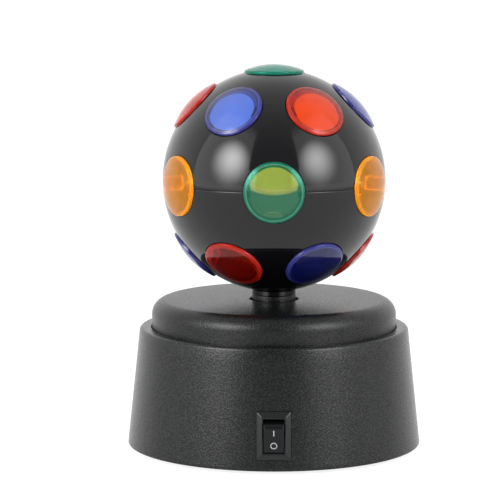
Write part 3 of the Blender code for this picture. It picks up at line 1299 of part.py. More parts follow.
def make_ball(shell_material, lens_materials):
    """Two half shells that plug together at the belt, with nineteen lenses snapped in."""
    seats = lens_seat_cutter()
    inner = BALL_RADIUS - BALL_WALL
    # A quarter step of turn keeps the shell's facet edges off the lenses' middle planes.
    turn = Matrix.Rotation(math.tau / BALL_SEGMENTS / 4, 4, "Z")
    centre = Matrix.Translation((0.0, 0.0, BALL_CENTRE_Z)) @ turn
    seam = math.asin(SEAT_GAP / 2 / BALL_RADIUS)
    inner_seam = math.asin(SEAT_GAP / 2 / inner)
    pole = math.pi / 2
    profile = arc_points(BALL_RADIUS, pole, seam, BALL_RINGS)
    profile += arc_points(inner, inner_seam, pole, BALL_RINGS)
    profile[0] = (0.0, BALL_RADIUS)
    profile[-1] = (0.0, inner)
    upper = part("upper_hemisphere", turned_mesh("upper_hemisphere", profile, BALL_SEGMENTS),
                 shell_material, centre)
    cut(upper, seats)

    lip_outer = math.sqrt(inner ** 2 - LIP_HEIGHT ** 2) - SEAT_GAP
    lip_inner = lip_outer - LIP_THICKNESS
    boss_latitude = math.acos(BALL_BOSS_RADIUS / BALL_RADIUS)
    seat_latitude = math.acos(NUT_SEAT_RADIUS / inner)
    root_latitude = math.asin(LIP_ROOT / inner)
    hole = SPIGOT_RADIUS + SEAT_GAP
    boss_bottom = BALL_BOTTOM_Z - BALL_CENTRE_Z
    profile = [(lip_inner, LIP_HEIGHT), (lip_outer, LIP_HEIGHT), (lip_outer, -SEAT_GAP / 2)]
    profile += arc_points(BALL_RADIUS, -seam, -boss_latitude, BALL_RINGS)
    profile += [(BALL_BOSS_RADIUS, boss_bottom), (hole, boss_bottom), (hole, -NUT_SEAT_DROP)]
    profile += arc_points(inner, -seat_latitude, -root_latitude, BALL_RINGS - 1)
    lower = part("lower_hemisphere", turned_mesh("lower_hemisphere", profile, BALL_SEGMENTS),
                 shell_material, centre)
    cut(lower, seats)
    cut(lower, lip_notch_cutter())

    blank = lens_mesh()
    meshes = {}
    for colour, material in lens_materials.items():
        meshes[colour] = blank.copy()
        meshes[colour].name = f"lens_{colour}"
        meshes[colour].materials.clear()
        meshes[colour].materials.append(material)
    bpy.data.meshes.remove(blank)
    for name, colour, place in lens_layout():
        part(name, meshes[colour], None, place)


def make_spindle(material, nut_material):
    """Hollow neck that carries the ball, runs in the bush and seats the gear, with its nut."""
    spigot_top = BALL_CENTRE_Z - NUT_SEAT_DROP + SEAT_GAP + NUT_THICKNESS + SPIGOT_OVERHANG
    profile = [
        (SPINDLE_BORE_RADIUS, spigot_top),
        (SPIGOT_RADIUS, spigot_top),
        (SPIGOT_RADIUS, NECK_TOP_Z),
        (NECK_RADIUS, NECK_TOP_Z),
        (NECK_RADIUS, NECK_SHOULDER_Z),
        (JOURNAL_RADIUS, NECK_SHOULDER_Z),
        (JOURNAL_RADIUS, GEAR_SHOULDER_Z),
        (GEAR_SEAT_RADIUS, GEAR_SHOULDER_Z),
        (GEAR_SEAT_RADIUS, GEAR_HUB_BOTTOM_Z),
        (SPINDLE_BORE_RADIUS, GEAR_HUB_BOTTOM_Z),
    ]
    spindle = part("spindle", turned_mesh("spindle", profile, MEDIUM_SEGMENTS), material)
    reach = GEAR_SEAT_RADIUS + CUT_OVERRUN
    flat = ((GEAR_SEAT_FLAT, -reach, GEAR_HUB_BOTTOM_Z - CUT_OVERRUN), (reach, reach, GEAR_SHOULDER_Z))
    cut(spindle, guide("spindle_flat", box_mesh("spindle_flat", [flat])))

    nut_bottom = BALL_CENTRE_Z - NUT_SEAT_DROP + SEAT_GAP
    outlines = [circle_outline(NUT_RADIUS, NUT_SIDES), circle_outline(SPIGOT_RADIUS + SEAT_GAP, MEDIUM_SEGMENTS)]
    nut = flat_mesh("spindle_nut", outlines, nut_bottom, nut_bottom + NUT_THICKNESS)
    part("spindle_nut", nut, nut_material)


def main():
    """Build every piece of the stage light."""
    drum_plastic = finish("satin_black_plastic", (0.020, 0.022, 0.023), 0.55)
    cap_plastic = finish("soft_black_plastic", (0.026, 0.028, 0.030), 0.50)
    ball_plastic = finish("gloss_black_plastic", (0.008, 0.008, 0.009), 0.12)
    plate_plastic = finish("matt_black_plastic", (0.022, 0.022, 0.022), 0.65)
    switch_plastic = finish("switch_black_plastic", (0.030, 0.032, 0.034), 0.45)
    rocker_plastic = finish("rocker_black_plastic", (0.012, 0.013, 0.014), 0.35)
    gear_plastic = finish("white_acetal", (0.780, 0.780, 0.740), 0.40)
    frame_plastic = finish("grey_frame_plastic", (0.110, 0.110, 0.115), 0.55)
    rubber = finish("black_rubber", (0.015, 0.015, 0.015), 0.85)
    steel = finish("zinc_plated_steel", (0.620, 0.620, 0.600), 0.30, 1.0)
    brass = finish("brass", (0.720, 0.520, 0.220), 0.30, 1.0)
    cell_sleeve = finish("cell_sleeve", (0.060, 0.065, 0.075), 0.35)
    board = finish("circuit_board", (0.020, 0.160, 0.070), 0.50)
    lead_sleeve = finish("lead_sleeve", (0.030, 0.030, 0.032), 0.50)
    led_resin = finish("led_resin", (0.850, 0.860, 0.880), 0.10, 0.0, 0.6)
    lens_materials = {
        "green": finish("green_lens_plastic", (0.020, 0.420, 0.250), 0.05, 0.0, 0.9),
        "orange": finish("orange_lens_plastic", (0.950, 0.380, 0.010), 0.05, 0.0, 0.9),
        "red": finish("red_lens_plastic", (0.800, 0.020, 0.015), 0.05, 0.0, 0.9),
        "blue": finish("blue_lens_plastic", (0.070, 0.060, 0.700), 0.05, 0.0, 0.9),
    }
    make_drum_housing(drum_plastic)
    make_top_cap(cap_plastic)
    plate = make_bottom_plate(plate_plastic)
    make_rubber_feet(rubber)
    make_all_screws(steel)
    make_battery_door(plate_plastic)
    make_batteries(cell_sleeve)
    make_contacts(plate, steel)
    make_switch_body(switch_plastic)
    make_switch_rocker(rocker_plastic)
    make_switch_terminals(brass)
    make_gear_deck(frame_plastic)
    make_bearing_bush(gear_plastic)
    make_thrust_washer(gear_plastic)
    make_drive_gear(gear_plastic)
    make_pinion(gear_plastic)
    make_gear_motor(steel)
    make_lamp(frame_plastic, board, led_resin)
    make_leads(lead_sleeve)
    make_ball(ball_plastic, lens_materials)
    make_spindle(ball_plastic, steel)


clear_scene()
PARTS = new_collection("rotating_stage_light")
CUTTERS = new_collection("cutters")
main()
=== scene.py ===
"""Looks of a small rotating stage light: a lens-studded ball on a round base, worked out in millimetres.

Every new piece is a surface on a grid of points.  Heights are above the floor, and the ball's own
shapes are measured from its centre.
"""

import math

import bmesh
import bpy
import numpy as np
from mathutils import Matrix, Vector


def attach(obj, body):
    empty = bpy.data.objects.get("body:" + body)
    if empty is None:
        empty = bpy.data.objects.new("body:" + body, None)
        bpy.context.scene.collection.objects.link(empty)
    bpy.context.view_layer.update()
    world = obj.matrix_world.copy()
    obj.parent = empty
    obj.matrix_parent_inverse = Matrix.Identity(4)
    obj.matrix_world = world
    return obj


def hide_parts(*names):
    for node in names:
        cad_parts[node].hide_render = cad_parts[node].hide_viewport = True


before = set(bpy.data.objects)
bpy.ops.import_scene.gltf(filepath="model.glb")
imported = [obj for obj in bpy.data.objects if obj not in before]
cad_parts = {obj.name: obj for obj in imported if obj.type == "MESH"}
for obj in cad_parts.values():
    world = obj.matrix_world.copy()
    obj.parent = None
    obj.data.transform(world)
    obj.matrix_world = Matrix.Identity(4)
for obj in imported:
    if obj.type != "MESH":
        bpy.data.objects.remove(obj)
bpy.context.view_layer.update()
scene = bpy.context.scene

MM = 0.001
TAU = 2.0 * math.pi

# Sizes that the pieces share, in millimetres.  The drum's wall leans in by 5.5 mm in 52.2 mm.
DRUM_FOOT = (66.0, 1.5)
DRUM_TOP = 54.5
DRUM_TOP_RADIUS = 60.45
DRUM_WALL = 2.2
WALL_SLANT = math.atan2(5.5, 52.2)
LEDGE_RADIUS = 55.3
LEDGE_THICKNESS = 2.8
CAP_RADIUS = 55.0
CAP_TOP = 66.9
SCREW_HOLE = 1.6
SWITCH_HEIGHT = 16.9
BEZEL_FACE = 1.676
ROCKER_DEPTH = 5.84
ROCKER_TILT = math.radians(11.0)
BALL_CENTRE = 120.6
BALL_RADIUS = 50.0
SHELL_INSIDE = 48.0
ROW_LATITUDE = 43.5
ROW_START = -90.0
LENS_STEP = 60.0
SEAM = 0.07
SEAM_ROUND = 0.15
LENS_RADIUS = 13.3
LENS_BASE = 48.1
LENS_SEAT = 47.8
LENS_HOLE = 12.2
LENS_DOME = 34.0
LENS_HOLLOW = 50.0

# Steps of the drum's grid across the switch's block, up it, and round the rest of the wall
BLOCK_COLUMNS = 12
BLOCK_ROWS = 14
WALL_COLUMNS = 132

# Spans in which most values of a cloudy and of a grainy noise lie, and the whole span of a share
CLOUDY = (0.3, 0.7)
GRAINY = (0.35, 0.65)
WHOLE = (0.0, 1.0)

# Share of light that a lens's pane scatters, by the place of the lens
TOP_HAZE = 0.85
UPPER_SIDE_HAZE = 0.35
BELT_HAZE = {"green": 0.22, "orange": 0.45}
BELT_BACK_HAZE = 0.12
LOWER_HAZE = 0.18

# Each lens's tints of the clear pane, the hazy pane and the rim, the rim's milky share, and the tint
# of the reflections
LENS_TINTS = {
    "green": ((0.47, 0.76, 0.48), (0.12, 0.56, 0.48), (0.002, 0.16, 0.10), 0.5, (0.35, 1.0, 0.85)),
    "orange": ((0.98, 0.58, 0.02), (0.93, 0.56, 0.02), (1.0, 0.42, 0.01), 0.3, (1.0, 0.7, 0.3)),
    "red": ((0.95, 0.08, 0.04), (1.0, 0.28, 0.05), (0.42, 0.02, 0.012), 0.5, (1.0, 0.6, 0.6)),
    "blue": ((0.16, 0.22, 0.80), (0.34, 0.49, 0.93), (0.035, 0.035, 0.22), 0.5, (1.0, 1.0, 1.0)),
}

CHARCOAL = (0.0018, 0.0022, 0.0022)


# Camera, surroundings and lights

def place_camera():
    """Camera a little above the ball's middle, far off, with a long lens."""
    data = bpy.data.cameras.new("camera")
    data.lens = 199.97
    data.sensor_width = 36.0
    data.clip_start = 0.05
    data.clip_end = 200.0
    camera = bpy.data.objects.new("camera", data)
    camera.location = (0.0, -1.23787, 0.26034)
    camera.rotation_euler = (math.radians(82.114), 0.0, math.radians(0.5))
    scene.collection.objects.link(camera)
    scene.camera = camera


def soft_light(name, side, base, glow):
    """Tall upright soft box at one side of the front: even, softer towards its top, with a round glow.

    Its power is pi x area, so that the strength in its nodes is its radiance.
    """
    width, height, distance = 1.87, 3.03, 1.5
    bearing, above_ball = 58.0, 1.305
    glow_across, glow_up, glow_size = 0.163, 0.289, (0.40, 0.27, 1.0)
    fade_from = 0.6
    data = bpy.data.lights.new(name, "AREA")
    data.shape = "RECTANGLE"
    data.size = width
    data.size_y = height
    data.energy = math.pi * width * height
    data.use_nodes = True
    tree = data.node_tree
    where = node(tree, "ShaderNodeNewGeometry").outputs["Parametric"]
    about_glow = node(tree, "ShaderNodeMapping", {"vector_type": "TEXTURE"}, Vector=where,
                      Location=(0.5 - side * glow_across, glow_up, 0.0), Scale=glow_size).outputs["Vector"]
    fade = node(tree, "ShaderNodeTexGradient", {"gradient_type": "SPHERICAL"}, Vector=about_glow)
    upright = node(tree, "ShaderNodeSeparateXYZ", Vector=where).outputs["Y"]
    strength = maths(tree, "ADD", smooth_between(tree, fade.outputs["Fac"], *WHOLE, 0.0, glow),
                     smooth_between(tree, upright, fade_from, 1.0, base, 0.0))
    feed(tree, tree.nodes["Emission"], Strength=strength)
    light = bpy.data.objects.new(name, data)
    turn = math.radians(side * bearing)
    away = Vector((math.sin(turn), -math.cos(turn), 0.0))
    light.location = away * distance + Vector((0.0, 0.0, BALL_CENTRE * MM + above_ball))
    light.rotation_euler = away.to_track_quat("Z", "Y").to_euler()
    scene.collection.objects.link(light)


def set_surroundings():
    """Pale room, darkest in front and brightest behind and at the sides, with a white floor."""
    in_front, beside, more_behind, times_at_sides = 0.34, 0.94, 0.22, 1.35
    front_end, middle = -0.84, 0.12
    world = bpy.data.worlds.new("pale_room")
    world.use_nodes = True
    tree = world.node_tree
    direction = node(tree, "ShaderNodeTexCoord").outputs["Generated"]
    split = node(tree, "ShaderNodeSeparateXYZ", Vector=direction)
    front = between(tree, split.outputs["Y"], front_end, middle, in_front, beside)
    behind = between(tree, split.outputs["Y"], middle, 1.0, 0.0, more_behind)
    across = maths(tree, "ABSOLUTE", split.outputs["X"])
    sides = between(tree, across, 0.2, 1.0, 1.0, times_at_sides)
    room = tree.nodes["Background"]
    room.inputs["Color"].default_value = (1.0, 1.0, 1.0, 1.0)
    feed(tree, room, Strength=maths(tree, "MULTIPLY", maths(tree, "ADD", front, behind), sides))
    scene.world = world
    scene.view_settings.view_transform = "Standard"

    half = 60.0
    corners = [(-half, -half, 0), (half, -half, 0), (half, half, 0), (-half, half, 0)]
    mesh = bpy.data.meshes.new("floor")
    mesh.from_pydata(corners, [], [(0, 1, 2, 3)])
    floor = bpy.data.objects.new("floor", mesh)
    scene.collection.objects.link(floor)
    material, _, _ = shader_of(
        "floor_white", Base_Color=(0.22, 0.22, 0.22, 1.0), Roughness=0.9, Specular_IOR_Level=0.0,
        Emission_Color=(1.0, 1.0, 1.0, 1.0), Emission_Strength=0.85)
    mesh.materials.append(material)


# Materials

def join(tree, socket, value):
    """Links an input to another socket, or sets any other value on the input itself."""
    if isinstance(value, bpy.types.NodeSocket):
        tree.links.new(value, socket)
    else:
        socket.default_value = value


def feed(tree, made, **inputs):
    """Joins a node's inputs by name, where an underscore stands for a space."""
    for key, value in inputs.items():
        join(tree, made.inputs[key.replace("_", " ")], value)


def node(tree, kind, settings=None, **inputs):
    """Adds a node with its settings and its inputs."""
    made = tree.nodes.new(kind)
    for key, value in (settings or {}).items():
        setattr(made, key, value)
    feed(tree, made, **inputs)
    return made


def maths(tree, operation, *values):
    """Result of an operation on one or two values."""
    made = node(tree, "ShaderNodeMath", {"operation": operation})
    for socket, value in zip(made.inputs, values):
        join(tree, socket, value)
    return made.outputs["Value"]


def mesh_value(tree, name):
    """A value that the mesh holds at each point."""
    return node(tree, "ShaderNodeAttribute", {"attribute_name": name}).outputs["Fac"]


def shader_of(name, **fixed):
    """A material, its tree and its Principled shader, with the values that are the same all over."""
    material = bpy.data.materials.new(name)
    material.use_nodes = True
    tree = material.node_tree
    shader = tree.nodes["Principled BSDF"]
    for key, value in fixed.items():
        shader.inputs[key.replace("_", " ")].default_value = value
    return material, tree, shader


def noise(tree, where, scale, detail, stretch=None):
    """Cloudy noise on the piece's own coordinates, so many cells to the metre."""
    if stretch is not None:
        where = node(tree, "ShaderNodeMapping", Vector=where, Scale=stretch).outputs["Vector"]
    made = node(tree, "ShaderNodeTexNoise", Vector=where, Scale=scale, Detail=detail)
    return made.outputs["Fac"]


def between(tree, value, from_low, from_high, to_low, to_high):
    """A value carried from one range to another."""
    made = node(tree, "ShaderNodeMapRange", Value=value, From_Min=from_low, From_Max=from_high,
                To_Min=to_low, To_Max=to_high)
    return made.outputs["Result"]


def smooth_between(tree, value, from_low, from_high, to_low, to_high):
    """The same, easing in and out."""
    result = between(tree, value, from_low, from_high, to_low, to_high)
    result.node.interpolation_type = "SMOOTHSTEP"
    return result


def blend_of(tree, share, first, second):
    """A colour between two, by a share."""
    made = node(tree, "ShaderNodeMix", {"data_type": "RGBA"}, Factor=share)
    for key, colour in (("A", first), ("B", second)):
        socket = [s for s in made.inputs if s.name == key and s.type == "RGBA"][0]
        join(tree, socket, colour if isinstance(colour, bpy.types.NodeSocket) else (*colour, 1.0))
    return [s for s in made.outputs if s.type == "RGBA"][0]


def raised(tree, height, strength, distance):
    """Normal of a surface with small relief."""
    return node(tree, "ShaderNodeBump", Height=height, Strength=strength, Distance=distance).outputs["Normal"]


def own_coordinates(tree):
    """The piece's own coordinates."""
    return node(tree, "ShaderNodeTexCoord").outputs["Object"]


def moulded_plastic(name, colour, tone, gloss, grain, relief, shine=(0.45, 0.55), **fixed):
    """Moulded plastic: a fine grain in relief, gloss and shine, with broad slight changes of shade."""
    material, tree, shader = shader_of(name, **fixed)
    where = own_coordinates(tree)
    broad = noise(tree, where, 35.0, 4.0)
    askew = node(tree, "ShaderNodeMapping", Vector=where, Rotation=(0.7, 0.4, 0.3)).outputs["Vector"]
    fine = noise(tree, askew, grain, 2.0)
    lighter = [value * tone for value in colour]
    lightest = [value * 1.5 for value in lighter]
    shade = blend_of(tree, between(tree, broad, *CLOUDY, *WHOLE), colour, lighter)
    shade = blend_of(tree, between(tree, fine, *GRAINY, 0.0, 0.35), shade, lightest)
    feed(tree, shader, Base_Color=shade, Roughness=between(tree, fine, *GRAINY, *gloss),
         Specular_IOR_Level=between(tree, fine, *GRAINY, *shine), Normal=raised(tree, fine, 1.0, relief * MM))
    return material


def polished_plastic(name, colour, gloss, **fixed):
    """Polished plastic: faint moulding waves, hairline wipe marks in the gloss and fine dust specks."""
    material, tree, shader = shader_of(name, **fixed)
    where = own_coordinates(tree)
    broad = noise(tree, where, 22.0, 2.0)
    wipes = noise(tree, where, 260.0, 3.0, stretch=(1.0, 0.25, 0.4))
    specks = node(tree, "ShaderNodeTexVoronoi", Vector=where, Scale=420.0).outputs["Distance"]
    dust, dust_share = (0.35, 0.35, 0.36), 0.10
    shade = blend_of(tree, between(tree, broad, *CLOUDY, *WHOLE), colour, [value * 1.25 for value in colour])
    shade = blend_of(tree, between(tree, specks, 0.02, 0.07, dust_share, 0.0), shade, dust)
    feed(tree, shader, Base_Color=shade, Roughness=between(tree, wipes, 0.35, 0.7, *gloss),
         Normal=raised(tree, broad, 0.10, 0.0004))
    return material


def tinted_lens(name, clear, hazy, rim, rim_share, reflections):
    """Clear tinted moulding, paler face on than edge on, with soft clouds in it and tinted reflections.

    The mesh tells its zone, 0 on the dome, 1 at the rim and legs and 2 on the pane of the hollow, and
    the pane's haze: the rim is deep, and a hazy pane scatters light and takes the hazy tint.  Where
    the mesh marks a painted glow, an edge of the moulding is given painted light: emission in its
    tint, standing in for the light that the clear resin carries.
    """
    material, tree, shader = shader_of(
        name, IOR=1.49, Specular_IOR_Level=0.3, Specular_Tint=(*reflections, 1.0))
    # Strength of the painted glow: emission on the marked edges, which are no lamp
    glow = 0.75
    where = own_coordinates(tree)
    cloud = noise(tree, where, 60.0, 2.0)
    wipes = noise(tree, where, 900.0, 2.0)
    zone, haze, painted_glow = mesh_value(tree, "zone"), mesh_value(tree, "haze"), mesh_value(tree, "painted_glow")
    at_rim = maths(tree, "PINGPONG", zone, 1.0)
    at_pane = between(tree, zone, 1.0, 2.0, *WHOLE)
    edge_on = node(tree, "ShaderNodeLayerWeight", Blend=0.42).outputs["Facing"]
    depth = maths(tree, "MULTIPLY", edge_on, between(tree, cloud, *CLOUDY, 0.6, 0.9))
    tint = blend_of(tree, between(tree, haze, 0.1, 0.7, *WHOLE), clear, hazy)
    tint = blend_of(tree, depth, tint, rim)
    tint = blend_of(tree, at_rim, tint, rim)
    milk = maths(tree, "ADD", maths(tree, "MULTIPLY", at_pane, haze),
                 between(tree, at_rim, *WHOLE, 0.0, rim_share))
    # Painted glow: where the mesh marks it, the lens emits in its own tint
    feed(tree, shader, Base_Color=tint, Emission_Color=tint,
         Emission_Strength=between(tree, painted_glow, *WHOLE, 0.0, glow),
         Transmission_Weight=between(tree, milk, *WHOLE, 1.0, 0.0),
         Roughness=between(tree, wipes, *CLOUDY, 0.015, 0.04), Normal=raised(tree, cloud, 0.03, 0.0002))
    return material


def drawn_metal(name, colour, tint, gloss, stretch):
    """Drawn or plated metal: long fine streaks in gloss and relief, and cloudy tarnish."""
    material, tree, shader = shader_of(name, Metallic=1.0)
    where = own_coordinates(tree)
    streaks = noise(tree, where, 900.0, 3.0, stretch=stretch)
    cloud = noise(tree, where, 120.0, 4.0)
    shade = blend_of(tree, between(tree, cloud, 0.35, 0.7, *WHOLE), colour, tint)
    feed(tree, shader, Base_Color=shade, Roughness=between(tree, streaks, *CLOUDY, *gloss),
         Normal=raised(tree, streaks, 0.25, 0.00005))
    return material


def rubber_finish():
    """Soft black rubber with a matt pebbled skin and pale wear."""
    material, tree, shader = shader_of("foot_rubber", Specular_IOR_Level=0.25)
    where = own_coordinates(tree)
    pebbles = node(tree, "ShaderNodeTexVoronoi", Vector=where, Scale=2600.0).outputs["Distance"]
    wear = noise(tree, where, 300.0, 4.0)
    black, worn = (0.016, 0.016, 0.017), (0.05, 0.05, 0.05)
    shade = blend_of(tree, between(tree, wear, 0.45, 0.75, *WHOLE), black, worn)
    feed(tree, shader, Base_Color=shade, Roughness=between(tree, wear, *CLOUDY, 0.75, 0.9),
         Normal=raised(tree, pebbles, 0.4, 0.0001))
    return material


def cell_finish():
    """Plain cell sleeve: a copper-coloured band at one end, shrink ripples and bare metal on the ends."""
    material, tree, shader = shader_of("cell_sleeve")
    sleeve, copper, metal = (0.012, 0.013, 0.016), (0.42, 0.20, 0.07), (0.62, 0.62, 0.6)
    band_from, bare_from, blur = 0.0125, 0.0247, 0.0002
    where = own_coordinates(tree)
    along = node(tree, "ShaderNodeSeparateXYZ", Vector=where).outputs["X"]
    ripples = noise(tree, where, 500.0, 2.0, stretch=(4.0, 0.3, 0.3))
    band = between(tree, along, band_from, band_from + blur, *WHOLE)
    bare = between(tree, maths(tree, "ABSOLUTE", along), bare_from, bare_from + blur, *WHOLE)
    shade = blend_of(tree, bare, blend_of(tree, band, sleeve, copper), metal)
    feed(tree, shader, Base_Color=shade, Metallic=bare, Roughness=between(tree, ripples, *CLOUDY, 0.22, 0.38),
         Normal=raised(tree, ripples, 0.2, 0.0001))
    return material


def board_finish():
    """Green lamp board: copper tracks under the mask, as fine squares with glass weave."""
    material, tree, shader = shader_of("lamp_board", Coat_Weight=0.5, Coat_Roughness=0.15)
    where = own_coordinates(tree)
    weave = node(tree, "ShaderNodeTexChecker", Vector=where, Scale=2200.0).outputs["Fac"]
    tracks = node(tree, "ShaderNodeTexBrick", Vector=where, Scale=260.0, Mortar_Size=0.03).outputs["Fac"]
    shade = blend_of(tree, tracks, (0.02, 0.17, 0.07), (0.05, 0.30, 0.13))
    feed(tree, shader, Base_Color=shade, Roughness=between(tree, weave, *WHOLE, 0.30, 0.42),
         Normal=raised(tree, tracks, 0.3, 0.0001))
    return material


def resin_finish():
    """Water-clear lamp resin with faint flow streaks."""
    material, tree, shader = shader_of("lamp_resin", IOR=1.5, Transmission_Weight=0.55)
    flow = noise(tree, own_coordinates(tree), 300.0, 3.0, stretch=(1.0, 1.0, 0.3))
    shade = blend_of(tree, between(tree, flow, *CLOUDY, *WHOLE), (0.86, 0.88, 0.90), (0.95, 0.95, 0.93))
    feed(tree, shader, Base_Color=shade, Roughness=between(tree, flow, *CLOUDY, 0.08, 0.2))
    return material


def mark_finish():
    """White pad-printed ink, slightly uneven."""
    material, tree, shader = shader_of("mark_ink")
    cover = noise(tree, own_coordinates(tree), 4000.0, 3.0)
    thin, full = (0.20, 0.205, 0.215), (0.28, 0.285, 0.295)
    shade = blend_of(tree, between(tree, cover, *GRAINY, *WHOLE), thin, full)
    feed(tree, shader, Base_Color=shade, Roughness=between(tree, cover, *CLOUDY, 0.45, 0.6))
    return material


# Grids of points

def net(points, rows_close=False, columns_close=False):
    """Points as rows by columns, and a four-sided face between each four neighbours."""
    rows, columns = points.shape[:2]
    index = np.arange(rows * columns).reshape(rows, columns)
    if rows_close:
        index = np.vstack([index, index[:1]])
    if columns_close:
        index = np.hstack([index, index[:, :1]])
    faces = np.stack([index[:-1, :-1], index[1:, :-1], index[1:, 1:], index[:-1, 1:]], axis=-1)
    return points.reshape(-1, 3), faces.reshape(-1, 4)


def place_points(points, place):
    """Points of a net moved by a 4 x 4 place in millimetres."""
    matrix = np.array(place)
    return points @ matrix[:3, :3].T + matrix[:3, 3]


def piece(name, nets, body, material, stands_for=(), place=None, crease=32.0, plates=(),
          marks=None):
    """One closed mesh from several nets and flat plates: joined points are merged and faces turned out.

    Marks are named values of the points, which the finish reads.
    """
    merge_within, drop_within = 0.003 * MM, 0.0005 * MM
    starts = np.cumsum([0] + [len(points) for points, _ in nets])
    points = np.concatenate([points for points, _ in nets])
    if place is not None:
        points = place_points(points, place)
    loops = [(faces + start).reshape(-1, 4) for (_, faces), start in zip(nets, starts)]
    corners = np.concatenate([faces.ravel() for faces in loops] + [np.asarray(plate) for plate in plates])
    sizes = np.concatenate([np.full(len(faces), 4) for faces in loops] + [[len(plate)] for plate in plates])
    mesh = bpy.data.meshes.new(name)
    mesh.vertices.add(len(points))
    mesh.vertices.foreach_set("co", (points * MM).astype(np.float32).ravel())
    mesh.loops.add(len(corners))
    mesh.loops.foreach_set("vertex_index", corners.astype(np.int32))
    mesh.polygons.add(len(sizes))
    mesh.polygons.foreach_set("loop_start", (np.cumsum(sizes) - sizes).astype(np.int32))
    mesh.update(calc_edges=True)
    for key, values in (marks or {}).items():
        mesh.attributes.new(key, "FLOAT", "POINT").data.foreach_set("value", np.asarray(values, np.float32))
    shape = bmesh.new()
    shape.from_mesh(mesh)
    bmesh.ops.remove_doubles(shape, verts=shape.verts, dist=merge_within)
    bmesh.ops.dissolve_degenerate(shape, edges=shape.edges, dist=drop_within)
    bmesh.ops.recalc_face_normals(shape, faces=shape.faces)
    shape.to_mesh(mesh)
    shape.free()
    mesh.shade_smooth()
    mesh.set_sharp_from_angle(angle=math.radians(crease))
    mesh.materials.append(material)
    thing = bpy.data.objects.new(name, mesh)
    scene.collection.objects.link(thing)
    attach(thing, body)
    if stands_for:
        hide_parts(*stands_for)


def rounded(corners, steps=6, closed=True):
    """Outline through corners given as (x, y, radius).

    A corner with a radius becomes an arc that touches both its sides; its centre lies on the line
    that halves the corner, at radius / sin(half the corner's angle).
    """
    spots = np.array([corner[:2] for corner in corners], float)
    count = len(spots)
    runs = []
    for index, (_, _, radius) in enumerate(corners):
        here = spots[index]
        if radius == 0 or (not closed and index in (0, count - 1)):
            runs.append(here[None])
            continue
        before = spots[index - 1] - here
        after = spots[(index + 1) % count] - here
        before = before / np.linalg.norm(before)
        after = after / np.linalg.norm(after)
        half = 0.5 * math.acos(float(np.clip(before @ after, -1.0, 1.0)))
        middle = (before + after) / np.linalg.norm(before + after)
        centre = here + middle * radius / math.sin(half)
        start = here + before * radius / math.tan(half) - centre
        end = here + after * radius / math.tan(half) - centre
        first = math.atan2(start[1], start[0])
        swing = (math.atan2(end[1], end[0]) - first + math.pi) % TAU - math.pi
        turns = first + swing * np.linspace(0.0, 1.0, steps + 1)
        runs.append(centre + radius * np.stack([np.cos(turns), np.sin(turns)], axis=-1))
    return np.concatenate(runs)


def turned(outline, around, x=0.0, y=0.0, closed=True):
    """Outline of (radius, height) turned about an upright axis: (r cos t, r sin t, z)."""
    outline = np.asarray(outline, float)
    turns = np.linspace(0.0, TAU, around, endpoint=False)
    points = np.stack([
        x + outline[:, :1] * np.cos(turns),
        y + outline[:, :1] * np.sin(turns),
        np.broadcast_to(outline[:, 1:2], (len(outline), around)),
    ], axis=-1)
    return net(points, rows_close=closed, columns_close=True)


def ring_of(radius, angle):
    """A place on a ring at an angle in degrees."""
    return radius * math.cos(math.radians(angle)), radius * math.sin(math.radians(angle))


def shrunk(outline):
    """Outline drawn in to its middle, which closes the end of a bar."""
    middle = outline.mean(0)
    return middle + (outline - middle) * 0.001


def screw_post(ring, angle, radius, foot, hole_top, top):
    """Round post at an angle on a ring about the axis, with a blind screw hole up from its foot."""
    outline = rounded([
        (0.0, hole_top, 0), (SCREW_HOLE, hole_top, 0), (SCREW_HOLE, foot, 0.15), (radius, foot, 0.3),
        (radius, top, 0.3), (0.0, top, 0),
    ], 3, closed=False)
    return turned(outline, 40, *ring_of(ring, angle))


# Base

def wall_radius(foot_radius, height):
    """Radius of a slanted wall: foot - (z - z0) tan s at height z."""
    return foot_radius - (height - DRUM_FOOT[1]) * math.tan(WALL_SLANT)


def switch_axes():
    """Place of the switch on the wall: x across, y up the slant and z out of it."""
    radius = wall_radius(DRUM_FOOT[0], SWITCH_HEIGHT)
    place = np.eye(4)
    place[:3, 0] = (1.0, 0.0, 0.0)
    place[:3, 1] = (0.0, math.sin(WALL_SLANT), math.cos(WALL_SLANT))
    place[:3, 2] = (0.0, -math.cos(WALL_SLANT), math.sin(WALL_SLANT))
    place[:3, 3] = (0.0, -radius, SWITCH_HEIGHT)
    return place


def front_columns(radius, half_width):
    """Angles of the columns at one radius, from the left edge of the switch's block round to it again."""
    edge = np.arcsin(half_width / radius)
    near = np.arcsin(np.linspace(-half_width, half_width, BLOCK_COLUMNS + 1) / radius)
    far = np.linspace(edge, TAU - edge, WALL_COLUMNS + 1)[1:-1]
    return np.concatenate([near, far])


def drum_rows(outline, half_width):
    """Rows of a turned outline, with columns crowded in front of the switch; angle 0 is the front."""
    rows = []
    for radius, height in outline:
        turns = front_columns(radius, half_width)
        upright = np.full(len(turns), height)
        rows.append(np.stack([radius * np.sin(turns), -radius * np.cos(turns), upright], -1))
    return rows


def wall_rows(foot_radius, heights, half_width):
    """Rows round a slanted wall at the given heights."""
    return drum_rows([(wall_radius(foot_radius, height), height) for height in heights], half_width)


